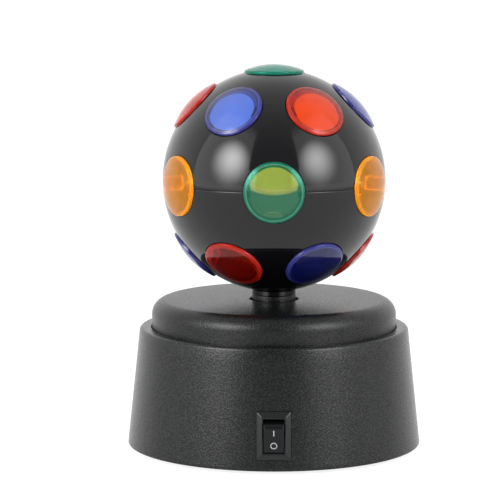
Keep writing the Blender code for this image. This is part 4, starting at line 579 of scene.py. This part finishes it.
def block_rows(foot_radius, half_width, half_length):
    """Rows across the switch's block: each lies in the plane at a height along the slant.

    A point at bearing t on the wall r = foot - (z - z0) tan s lies in the plane at y when
    z (cos s + tan s sin s cos t) = y + k + (foot + z0 tan s) cos t sin s, where k is the switch's own
    place along the slant.  Three rounds settle the height and the columns' angles, which hang on it.
    """
    sine, cosine, slope = math.sin(WALL_SLANT), math.cos(WALL_SLANT), math.tan(WALL_SLANT)
    start = switch_axes()[:3, 3]
    own = start[1] * sine + start[2] * cosine
    rows = []
    for along in np.linspace(-half_length, half_length, BLOCK_ROWS + 1):
        height = SWITCH_HEIGHT + along * cosine
        for _ in range(3):
            radius = np.mean(wall_radius(foot_radius, height))
            turns = front_columns(radius, half_width)
            edge = np.arcsin(half_width / radius)
            bearing = np.cos(np.clip(np.where(turns > math.pi, turns - TAU, turns), -edge, edge))
            height = (along + own + (foot_radius + DRUM_FOOT[1] * slope) * bearing * sine) / (
                cosine + slope * sine * bearing)
        radius = wall_radius(foot_radius, height)
        across = np.linspace(-half_width, half_width, BLOCK_COLUMNS + 1)
        turns[:BLOCK_COLUMNS + 1] = np.arcsin(across / radius[:BLOCK_COLUMNS + 1])
        rows.append(np.stack([radius * np.sin(turns), -radius * np.cos(turns), height], -1))
    return rows


def border(block):
    """Edge of a block of points, once round."""
    return np.concatenate([block[0, :-1], block[:-1, -1], block[-1, :0:-1], block[:0:-1, 0]])


def make_drum(material):
    """Slant-walled drum with the switch's pocket and window, a ledge and three screw bosses."""
    per_corner = 7
    outer_foot, foot = DRUM_FOOT
    inner_foot = outer_foot - DRUM_WALL / math.cos(WALL_SLANT)
    under = DRUM_TOP - LEDGE_THICKNESS
    outline = rounded([
        (outer_foot, foot, 0.5), (DRUM_TOP_RADIUS, DRUM_TOP, 1.6), (LEDGE_RADIUS, DRUM_TOP, 0.35),
        (LEDGE_RADIUS, under, 0.2), (wall_radius(inner_foot, under), under, 0.6), (inner_foot, foot, 0.2),
    ], steps=per_corner - 1)
    pocket_x, pocket_y, pocket_depth = 7.8, 10.8, 0.624
    window_x, window_y = 6.7, 9.7

    # The rows run up the outer wall, over the ledge and down the inner wall, and the switch's block is
    # a part of both walls.  Each corner of the outline gives seven points.
    rows = drum_rows(outline[:per_corner], pocket_x) + wall_rows(outer_foot, (3.2, 4.6), pocket_x)
    outer_start = len(rows)
    rows += block_rows(outer_foot, pocket_x, pocket_y)
    rows += wall_rows(outer_foot, (29.5, 33.5, 38.0, 43.0, 47.5), pocket_x)
    rows += drum_rows(outline[per_corner:4 * per_corner], pocket_x)
    rows += drum_rows(outline[4 * per_corner:5 * per_corner], window_x)
    rows += wall_rows(inner_foot, (45.0, 38.0, 31.0), window_x)
    inner_start = len(rows)
    rows += block_rows(inner_foot, window_x, window_y)[::-1]
    rows += wall_rows(inner_foot, (5.5, 3.5), window_x)
    rows += drum_rows(outline[5 * per_corner:], window_x)
    grid = np.array(rows)
    points, faces = net(grid, rows_close=True, columns_close=True)
    columns = grid.shape[1]
    row, column = faces[:, 0] // columns, faces[:, 0] % columns
    for start in (outer_start, inner_start):
        hole = (row >= start) & (row < start + BLOCK_ROWS) & (column < BLOCK_COLUMNS)
        faces, row, column = faces[~hole], row[~hole], column[~hole]

    outer = border(grid[outer_start:outer_start + BLOCK_ROWS + 1, :BLOCK_COLUMNS + 1])
    inner = border(grid[inner_start:inner_start + BLOCK_ROWS + 1, :BLOCK_COLUMNS + 1][::-1])
    axes = switch_axes()
    pocket = (outer - axes[:3, 3]) @ axes[:3, :3]
    pocket[:, 2] = -pocket_depth
    window = pocket * (window_x / pocket_x, window_y / pocket_y, 1.0)
    tunnel = np.array([outer, place_points(pocket, axes), place_points(window, axes), inner])
    nets = [(points, faces), net(tunnel, columns_close=True)]
    nets += [screw_post(57.5, angle, 3.4, 5.1, 15.9, 17.1) for angle in (90.0, 210.0, 330.0)]
    piece("drum_shell", nets, "base", material, ["drum_housing"], crease=28.0)


def make_cap(material):
    """Stepped cap: broad rounded brow, flange under the ledge, bush hub and three deck posts."""
    outline = rounded([
        (11.2, CAP_TOP, 0.45), (CAP_RADIUS, CAP_TOP, 6.6), (CAP_RADIUS, 51.2, 0.15), (58.0, 51.2, 0.2),
        (58.0, 50.0, 0.2), (52.8, 50.0, 0.2), (52.8, 64.7, 4.4), (13.4, 64.7, 0.5), (13.4, 54.9, 0.3),
        (11.2, 54.9, 0.3),
    ], steps=10)
    nets = [turned(outline, 160)]
    nets += [screw_post(42.0, angle, 3.5, 42.7, 51.5, 65.8) for angle in (30.0, 150.0, 270.0)]
    piece("cap_shell", nets, "base", material, ["top_cap"], crease=28.0)


def make_feet(material):
    """Four dished rubber feet."""
    outline = rounded([
        (0.0, 0.25, 0), (3.6, 0.25, 0.2), (4.1, 0.0, 0.2), (5.5, 0.0, 0.4), (5.5, 1.5, 0.15), (0.0, 1.5, 0),
    ], 5, closed=False)
    for index, angle in enumerate((45.0, 135.0, 225.0, 315.0), start=1):
        nets = [turned(outline, 56, *ring_of(54.5, angle))]
        piece(f"foot_pad_{index}", nets, "base", material, [f"rubber_foot_{index}"])


# Switch

def frame_loop(half_x, half_y, radius, height):
    """Rounded oblong at a height: four quarter arcs joined by straight sides."""
    turns = np.linspace(0.0, math.pi / 2, 7)
    arc = radius * np.stack([np.cos(turns), np.sin(turns)], -1)
    parts = []
    for quarter, signs in enumerate(((1, 1), (-1, 1), (-1, -1), (1, -1))):
        turn = quarter * math.pi / 2
        spin = np.array([[math.cos(turn), math.sin(turn)], [-math.sin(turn), math.cos(turn)]])
        parts.append(arc @ spin + np.array([half_x - radius, half_y - radius]) * signs)
    loop = np.concatenate(parts)
    return np.column_stack([loop, np.full(len(loop), height)])


def loops_net(steps, shift=0.0):
    """Net over rounded oblongs given as (half x, half y, radius, height), moved up by a shift."""
    loops = np.array([frame_loop(*step) for step in steps])
    loops[:, :, 1] += shift
    return net(loops, columns_close=True)


def make_bezel(material, axes):
    """Bevelled bezel of the switch with its box behind the wall and the rocker's well."""
    face, low = BEZEL_FACE, BEZEL_FACE - 2.0
    box_back, well_floor = low - 12.0, face - 9.0
    well_x, well_y = 4.7, 7.408
    steps = (
        (0.01, 0.01, 0.005, box_back), (6.2, 9.2, 0.3, box_back), (6.4, 9.4, 0.4, box_back + 0.2),
        (6.4, 9.4, 0.4, low), (7.3, 10.3, 0.5, low), (7.5, 10.5, 0.6, low + 0.2),
        (7.5, 10.5, 0.6, low + 0.45), (7.42, 10.42, 0.58, low + 0.62), (7.3, 10.3, 0.55, low + 0.73),
        (5.48, 8.48, 0.35, face - 0.12), (5.3, 8.3, 0.32, face - 0.02), (5.12, 8.12, 0.3, face),
        (well_x + 0.18, well_y + 0.18, 0.35, face), (well_x + 0.05, well_y + 0.05, 0.3, face - 0.06),
        (well_x, well_y, 0.25, face - 0.22), (well_x, well_y, 0.25, well_floor + 0.2),
        (well_x - 0.2, well_y - 0.2, 0.2, well_floor), (0.01, 0.01, 0.005, well_floor),
    )
    piece("switch_bezel", [loops_net(steps)], "base", material, ["switch_body"],
          place=axes, crease=30.0)


def make_rocker(material, mark_material, place):
    """Rocker on its two pins, with a printed line on its upper half and a ring on its lower one."""
    top, half_length, half_width, edge = 6.9, 5.9, 4.4, 0.35
    lean = top * math.tan(ROCKER_TILT)
    side = rounded([
        (-half_length, top, 0.35), (-half_length - lean, 0.0, 0.3), (-2.2, -1.4, 0.6), (2.2, -1.4, 0.6),
        (half_length + lean, 0.0, 0.3), (half_length + 0.4, top, 2.2),
    ], 8)
    ahead = np.roll(side, -1, 0) - np.roll(side, 1, 0)
    inward = np.stack([ahead[:, 1], -ahead[:, 0]], -1)
    inward /= np.linalg.norm(inward, axis=1, keepdims=True)
    inward *= np.sign(np.sum(inward * (side.mean(0) - side)))
    arcs = np.linspace(0.0, math.pi / 2, 6)
    rows = [np.column_stack([np.full(len(side), -half_width), shrunk(side)])]
    for across, inset in zip(-half_width + edge * (1 - np.cos(arcs)), edge * (1 - np.sin(arcs))):
        rows.append(np.column_stack([np.full(len(side), across), side + inward * inset]))
    other = [np.column_stack([-row[:, 0], row[:, 1:]]) for row in rows[::-1]]
    nets = [net(np.array(rows + other), columns_close=True)]
    pin = rounded([(0.0, 4.2, 0), (1.0, 4.2, 0), (1.0, 5.6, 0.25), (0.0, 5.6, 0)], 4, closed=False)
    points, faces = turned(pin, 32)
    for sign in (-1.0, 1.0):
        nets.append((np.stack([sign * points[:, 2], points[:, 0], points[:, 1]], -1), faces))
    piece("rocker_cap", nets, "rocker", material, ["switch_rocker"],
          place=place, crease=38.0)

    sunk, proud, bar_at, ring_at = top - 0.05, top + 0.05, 2.75, -2.8
    bar = (
        (0.005, 0.3, 0.002, sunk), (0.25, 1.22, 0.12, sunk), (0.25, 1.22, 0.12, top + 0.03),
        (0.21, 1.18, 0.1, proud), (0.005, 0.3, 0.002, proud),
    )
    ring = rounded([(1.06, sunk, 0), (1.49, sunk, 0), (1.49, proud, 0.03), (1.06, proud, 0.03)], 3)
    nets = [loops_net(bar, bar_at), turned(ring, 56, 0.0, ring_at)]
    piece("rocker_marks", nets, "rocker", mark_material, place=place, crease=35.0)


def make_switch(body_material, rocker_material, mark_material):
    """Snap-in rocker switch in its pocket in the wall, with the rocker at the angle of rest."""
    axes = switch_axes()
    make_bezel(body_material, axes)
    pivot = Matrix.Translation((0.0, 0.0, BEZEL_FACE - ROCKER_DEPTH))
    tilt = Matrix.Rotation(ROCKER_TILT, 4, "X")
    make_rocker(rocker_material, mark_material, axes @ np.array(pivot) @ np.array(tilt))


# Ball

def aim(azimuth, latitude):
    """Unit direction from the ball's centre: azimuth from the front towards the right, in degrees."""
    turn, rise = math.radians(azimuth), math.radians(latitude)
    return np.array([math.sin(turn) * math.cos(rise), -math.cos(turn) * math.cos(rise), math.sin(rise)])


def lens_axes(azimuth, latitude):
    """A lens's level, upright and outward directions as rows."""
    out = aim(azimuth, latitude)
    level = np.array([math.cos(math.radians(azimuth)), math.sin(math.radians(azimuth)), 0.0])
    return np.stack([level, np.cross(out, level), out])


def meet(first, second, third):
    """Direction as far from each of three lenses' axes: square to the differences between them."""
    middle = np.cross(first - second, second - third)
    middle /= np.linalg.norm(middle)
    return middle * np.sign(middle @ first)


def arc_between(first, last, steps):
    """Directions at even steps of the great circle from one direction to another, without the last."""
    angle = math.acos(float(np.clip(first @ last, -1.0, 1.0)))
    share = np.arange(steps)[:, None] / steps
    return (np.sin((1 - share) * angle) * first + np.sin(share * angle) * last) / math.sin(angle)


def cell(axes, rim, through, outer_hole, inner_hole, seam_heights=None):
    """One lens's share of a shell, as rows from its border over the outer skin, down through the hole
    and back over the inner skin to the border.

    A point lies at height h on the axis and p from it: on a skin of radius R, p = R sin a and
    h = R cos a, where a grows evenly from the hole to the border.  Columns keep one bearing, except
    the columns next to the seam, which keep one height above it: sine of the bearing = height / p.
    """
    level, up, out = axes
    reach = np.arccos(np.clip(rim @ out, -1.0, 1.0))
    bearing = np.arctan2(rim @ up, rim @ level)
    skin_rows = 9
    share = np.linspace(0.0, 1.0, skin_rows)[:, None]
    inset = np.zeros(len(rim))
    if seam_heights is not None:
        below = SEAM_ROUND - (np.nan_to_num(seam_heights, nan=BALL_RADIUS) - SEAM)
        arc = np.sqrt(np.maximum(SEAM_ROUND ** 2 - below ** 2, 0.0))
        inset = np.where(below > 0.0, SEAM_ROUND - arc, 0.0)
    start = math.asin(outer_hole / BALL_RADIUS)
    angles = start + (reach - start) * share[::-1]
    rows_p = [(BALL_RADIUS - inset) * np.sin(angles)]
    rows_h = [(BALL_RADIUS - inset) * np.cos(angles)]
    for away, height in through:
        rows_p.append(np.full((1, len(rim)), away))
        rows_h.append(np.full((1, len(rim)), height))
    start = math.asin(inner_hole / SHELL_INSIDE)
    angles = start + (reach - start) * share
    rows_p.append(SHELL_INSIDE * np.sin(angles))
    rows_h.append(SHELL_INSIDE * np.cos(angles))
    away, height = np.concatenate(rows_p), np.concatenate(rows_h)
    turns = np.broadcast_to(bearing, away.shape).copy()
    if seam_heights is not None:
        held = ~np.isnan(seam_heights)
        low = np.arcsin(np.clip(seam_heights[held] / away[:, held], -1.0, 1.0))
        turns[:, held] = np.where(np.abs(bearing[held]) > math.pi / 2, math.pi - low, low)
    return (height[..., None] * out + (away * np.cos(turns))[..., None] * level
            + (away * np.sin(turns))[..., None] * up)


def hemisphere(sign):
    """Cells of one half shell: the pole's, six round a row of lenses, and the half cells at the belt."""
    seat = [(13.6, 48.02), (13.6, LENS_SEAT), (12.32, LENS_SEAT), (LENS_HOLE, LENS_SEAT - 0.12)]
    seat_edge = 13.72
    steps, climb_steps = 16, 12
    row = [aim(ROW_START + LENS_STEP * k, sign * ROW_LATITUDE) for k in range(6)]
    belt = [aim(LENS_STEP * k, 0.0) for k in range(6)]
    pole = np.array([0.0, 0.0, float(sign)])
    # Corners by the belt lens they stand over: row lens k lies 30 degrees left of belt lens k - 1.
    near_pole = [meet(pole, row[(k + 1) % 6], row[(k + 2) % 6]) for k in range(6)]
    over_belt = [meet(belt[k], row[(k + 1) % 6], row[(k + 2) % 6]) for k in range(6)]
    under_row = [meet(row[k], belt[(k - 2) % 6], belt[(k - 1) % 6]) for k in range(6)]

    rim = np.concatenate([arc_between(near_pole[k], near_pole[(k + 1) % 6], steps) for k in range(6)])
    if sign > 0:
        grids = [cell(lens_axes(0.0, 90.0), rim, seat, seat_edge, LENS_HOLE)]
    else:
        boss = [(9.95, 49.2), (9.8, 49.45), (9.8, 51.22), (9.72, 51.3), (6.45, 51.3), (6.3, 51.15),
                (6.3, 47.11), (9.2, 47.11)]
        grids = [cell(lens_axes(0.0, -90.0), rim, boss, outer_hole=10.25, inner_hole=9.2)]

    for k in range(6):
        left, right = (k - 2) % 6, (k - 1) % 6
        corners = [near_pole[left], near_pole[right], over_belt[right], under_row[k], over_belt[left]]
        rim = np.concatenate([arc_between(corners[i], corners[(i + 1) % 5], steps) for i in range(5)])
        axes = lens_axes(ROW_START + LENS_STEP * k, sign * ROW_LATITUDE)
        grids.append(cell(axes, rim, seat, seat_edge, LENS_HOLE))
    nets = [net(grid, columns_close=True) for grid in grids]

    plates, offset = [], sum(len(points) for points, _ in nets)
    heights = SEAM + np.array([0.0, 0.02, 0.065, SEAM_ROUND])
    rise = np.degrees(np.arcsin(heights / BALL_RADIUS))
    half_step = LENS_STEP / 2
    for k in range(6):
        ahead = LENS_STEP * k
        axes = lens_axes(ahead, 0.0) * np.array([[1.0], [sign], [1.0]])
        right, left, top = under_row[(k + 2) % 6], under_row[(k + 1) % 6], over_belt[k]
        foot_right, foot_left = (np.array([aim(ahead + side, sign * angle) for angle in rise])
                                 for side in (half_step, -half_step))
        climb, fall = (arc_between(aim(ahead + side, 0.0), corner, climb_steps)[1:]
                       for side, corner in ((half_step, right), (-half_step, left)))
        rim = np.concatenate([
            foot_right, climb, arc_between(right, top, steps), arc_between(top, left, steps), left[None],
            fall[::-1], foot_left[::-1],
        ])
        held = np.full(len(rim), np.nan)
        held[:4], held[-4:] = heights, heights[::-1]
        grid = cell(axes, rim, seat, seat_edge, LENS_HOLE, seam_heights=held)
        nets.append(net(grid))
        rows, columns = grid.shape[:2]
        plates.append(offset + np.arange(rows) * columns)
        plates.append(offset + np.arange(rows)[::-1] * columns + columns - 1)
        offset += rows * columns
    return nets, plates


def lip_nets(start):
    """Plug lip inside the seam: six bars between the belt lenses, with a flat plate at each end."""
    outline = rounded([
        (46.63, 2.5, 0.2), (47.63, 2.5, 0.2), (47.63, -0.3, 0), (48.4, -0.3, 0), (48.4, -3.0, 0.2),
        (46.63, -3.0, 0.2),
    ], 3)
    front, first, last, columns = -90.0, 16.4, 43.6, 12
    nets, plates = [], []
    for k in range(6):
        turns = np.radians(front + LENS_STEP * k + np.linspace(first, last, columns))
        bar = np.stack([outline[:, :1] * np.cos(turns), outline[:, :1] * np.sin(turns),
                        np.broadcast_to(outline[:, 1:], (len(outline), columns))], -1)
        nets.append(net(bar, rows_close=True))
        index = start + np.arange(len(outline)) * columns
        plates += [index, index + columns - 1]
        start += len(outline) * columns
    return nets, plates


def make_ball(material):
    """Two half shells with a seat and a hole for each lens; the lower one has the plug lip and boss."""
    place = np.eye(4)
    place[2, 3] = BALL_CENTRE
    for half, sign in (("upper", 1), ("lower", -1)):
        nets, plates = hemisphere(sign)
        if half == "lower":
            lip, lip_plates = lip_nets(sum(len(points) for points, _ in nets))
            nets += lip
            plates += lip_plates
        piece(f"{half}_shell", nets, "ball", material, [f"{half}_hemisphere"],
              place=place, crease=30.0, plates=plates)


def lens_nets():
    """Lens with a shallow dome, a rounded rim, a flange, a hollow and two hooked snap legs, and the
    zone and the painted glow (emission standing in for light the resin carries) at each point.

    The dome is a sphere of 34 mm and the hollow one of 50 mm, both about points on the lens's axis,
    so the lens is a weak magnifier.
    """
    around, skirt = 88, 4
    dome_top, dome_edge, hollow_centre = 52.0, 12.7, -0.17
    # Painted glow on the pane's first rows by the rim, and the height under which the legs' tips get painted
    # glow
    rim_painted_glow, tip_below = 0.3, 43.25
    away = np.linspace(0.0, dome_edge, 16)
    outer = np.column_stack([away, dome_top - LENS_DOME + np.sqrt(LENS_DOME ** 2 - away ** 2)])
    rim = rounded([
        (dome_edge, outer[-1, 1], 0), (LENS_RADIUS, 49.25, 0.3), (LENS_RADIUS, LENS_BASE, 0.2),
        (11.75, LENS_BASE, 0.12), (11.6, 48.5, 0),
    ], 5, closed=False)[1:-1]
    away = np.concatenate([[11.6, 11.45, 11.2, 10.9, 10.75], np.arange(10.4, 7.7, -0.25),
                           [7.0, 5.0, 3.0, 1.5, 0.0]])
    inner = np.column_stack([away, hollow_centre + np.sqrt(LENS_HOLLOW ** 2 - away ** 2)])
    lens = turned(np.concatenate([outer, rim, inner]), around, closed=False)
    zone = np.repeat([0.0, 1.0, 2.0], (len(outer) - 1, 1 + len(rim) + skirt, len(inner) - skirt))
    # Painted glow: the skirt rows of the pane next to the rim emit a little
    painted_glow = np.repeat([0.0, rim_painted_glow, 0.0], (len(outer) + len(rim), skirt, len(inner) - skirt))

    leg = rounded([
        (10.05, 48.95, 0), (10.05, 43.3, 0), (10.05, 43.2, 0), (10.05, 42.7, 0.25), (11.15, 42.7, 0.2),
        (11.44, 43.2, 0), (11.5, 43.3, 0), (12.55, 45.1, 0.2), (11.15, 45.1, 0.15), (11.15, 48.75, 0),
    ], 4)
    # Painted glow on the legs: their sides and hooked tips emit, standing in for light that the resin carries
    tip = np.where(leg[:, 1] < tip_below, 1.0, 0.0)
    sides = [(shrunk(leg), -2.75), (leg, -2.75), (leg, -2.5), (leg, -2.42)]
    glow = [np.zeros(len(leg)), np.ones(len(leg)), np.ones(len(leg)), tip]
    sides += [(side, -across) for side, across in sides[::-1]]
    glow = np.concatenate(glow + glow[::-1])
    rows = np.array([
        np.column_stack([side[:, 0], np.full(len(leg), across), side[:, 1]]) for side, across in sides])
    nets = [lens] + [net(rows * (sign, 1.0, 1.0), columns_close=True) for sign in (-1.0, 1.0)]
    zones = np.concatenate([np.repeat(zone, around), np.ones(2 * len(glow))])
    return nets, zones, np.concatenate([np.repeat(painted_glow, around), glow, glow])


def lens_layout():
    """Name, colour, azimuth and latitude of each lens."""
    layout = [("lens_top", "green", 0.0, 90.0)]
    rows = (("upper", ROW_START, ROW_LATITUDE, ("red", "blue")), ("belt", 0.0, 0.0, ("green", "orange")),
            ("lower", ROW_START, -ROW_LATITUDE, ("blue", "red")))
    for row, start, latitude, colours in rows:
        for index in range(6):
            azimuth = start + LENS_STEP * index
            layout.append((f"lens_{row}_{index + 1}", colours[index % 2], azimuth, latitude))
    return layout


def pane_haze(name, colour, azimuth, latitude, in_circle):
    """Share of light that a lens's pane scatters, one value or one at each point."""
    to_side = abs(math.sin(math.radians(azimuth))) > 0.9
    to_back = math.cos(math.radians(azimuth)) < -0.9
    if name == "lens_top":
        return TOP_HAZE
    if latitude > 0.0:
        return UPPER_SIDE_HAZE if to_side else in_circle
    if latitude < 0.0:
        return LOWER_HAZE
    return BELT_BACK_HAZE if to_back else BELT_HAZE[colour]


def make_lenses(materials):
    """Nineteen lenses, each in its seat; those of the upper row have the haziest panes.

    The haze of an upper pane fills a circle a little below the lens's axis, with a soft edge.
    """
    below, circle, soft_edge = 1.6, 10.4, 0.5
    outside, more_inside = 0.3, 0.55
    nets, zone, painted_glow = lens_nets()
    points = np.concatenate([points for points, _ in nets])
    off_circle = np.hypot(points[:, 0], points[:, 1] + below) - circle
    in_circle = outside + more_inside * np.clip(0.5 - off_circle / soft_edge, 0.0, 1.0)
    for name, colour, azimuth, latitude in lens_layout():
        place = np.eye(4)
        place[:3, :3] = lens_axes(azimuth, latitude).T
        place[2, 3] = BALL_CENTRE
        haze = pane_haze(name, colour, azimuth, latitude, in_circle) * np.ones(len(zone))
        # Each lens carries its zone, its painted glow and its haze as marks
        piece(name.replace("lens_", "cover_"), nets, "ball", materials[colour], [name],
              place=place, crease=34.0, marks={"zone": zone, "painted_glow": painted_glow, "haze": haze})


def make_neck(material):
    """Hollow neck: collar under the ball, journal, and the gear seat with its flat at x = 5.4 mm."""
    flat_below, flat = 50.95, 5.4
    outline = rounded([
        (3.6, 77.0, 0.2), (6.0, 77.0, 0.4), (6.0, 69.0, 0.1), (9.8, 69.0, 0.12), (9.8, 63.5, 0.3),
        (8.0, 63.5, 0.1), (8.0, 51.0, 0.2), (6.4, 51.0, 0.1), (6.4, 44.0, 0.3), (3.6, 44.0, 0.2),
    ], 5)
    points, faces = turned(outline, 96)
    points[:, 0] = np.where(points[:, 2] < flat_below, np.minimum(points[:, 0], flat), points[:, 0])
    piece("neck", [(points, faces)], "ball", material, ["spindle"], crease=28.0)


def make_lamp(material):
    """Domed lamp that stands on its board."""
    outline = rounded([
        (0.0, 95.5, 0), (5.6, 95.5, 0.1), (5.6, 96.5, 0.2), (5.0, 96.5, 0.1), (5.0, 108.6, 4.9),
        (0.0, 108.6, 0),
    ], 8, closed=False)
    piece("lamp_dome", [turned(outline, 64)], "base", material, ["led_lamp"])


def dress_frame(finishes):
    """Every CAD piece that stays gets its own finish."""
    for name, material in finishes.items():
        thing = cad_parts[name]
        thing.data.materials.clear()
        thing.data.materials.append(material)


def numbered(*stems, count=3):
    """Names with a number from 1 after each stem."""
    return [f"{stem}_{index + 1}" for stem in stems for index in range(count)]


def main():
    """Builds the scene."""
    place_camera()
    set_surroundings()
    soft_light("soft_box_left", -1.0, 1.1, 15.0)
    soft_light("soft_box_right", 1.0, 1.0, 10.8)

    drum = moulded_plastic("drum_charcoal", CHARCOAL, 1.3, (0.19, 0.30), 1500.0, 0.11, (0.23, 0.42))
    cap = moulded_plastic("cap_charcoal", CHARCOAL, 1.3, (0.25, 0.38), 1600.0, 0.12, (0.21, 0.38))
    plate = moulded_plastic("plate_black", (0.018, 0.018, 0.019), 1.3, (0.45, 0.62), 2000.0, 0.04)
    ball = polished_plastic("ball_black", (0.0015, 0.0015, 0.0020), (0.05, 0.09), Specular_IOR_Level=0.4)
    bezel = moulded_plastic("bezel_black", (0.0020, 0.0024, 0.0026), 1.15, (0.26, 0.34), 5000.0, 0.01,
                            (0.30, 0.38))
    rocker = moulded_plastic("rocker_black", (0.0018, 0.0022, 0.0026), 1.2, (0.20, 0.26), 6000.0, 0.006,
                             (0.20, 0.26))
    grey = moulded_plastic("frame_grey", (0.10, 0.10, 0.105), 1.2, (0.45, 0.55), 1800.0, 0.03)
    white = moulded_plastic("gear_white", (0.72, 0.72, 0.68), 0.94, (0.32, 0.42), 1500.0, 0.012,
                            Subsurface_Weight=0.15)
    sleeve = moulded_plastic("lead_black", (0.02, 0.02, 0.021), 1.3, (0.45, 0.6), 3500.0, 0.02)
    steel = drawn_metal("zinc_plate", (0.62, 0.62, 0.60), (0.50, 0.50, 0.47), (0.22, 0.36), (1.0, 1.0, 0.1))
    brass = drawn_metal("brass_strip", (0.72, 0.54, 0.24), (0.58, 0.40, 0.18), (0.24, 0.40), (0.15, 1.0, 1.0))
    lenses = {colour: tinted_lens(f"lens_{colour}", *tints) for colour, tints in LENS_TINTS.items()}

    make_drum(drum)
    make_cap(cap)
    make_feet(rubber_finish())
    make_switch(bezel, rocker, mark_finish())
    make_ball(ball)
    make_lenses(lenses)
    make_neck(cap)
    make_lamp(resin_finish())
    dressed = (
        (plate, ["bottom_plate", "battery_door"]),
        (steel, numbered("plate_screw", "deck_screw") + [
            "plus_contact", "minus_contact", "bridge_contact_left", "bridge_contact_right", "gear_motor",
            "spindle_nut"]),
        (cell_finish(), numbered("battery")),
        (brass, numbered("switch_terminal", count=2)),
        (grey, ["gear_deck", "lamp_post"]),
        (white, ["bearing_bush", "thrust_washer", "drive_gear", "pinion"]),
        (board_finish(), ["lamp_board"]),
        (sleeve, ["battery_lead", "motor_lead", "lamp_lead"]),
    )
    dress_frame({name: material for material, names in dressed for name in names})


main()
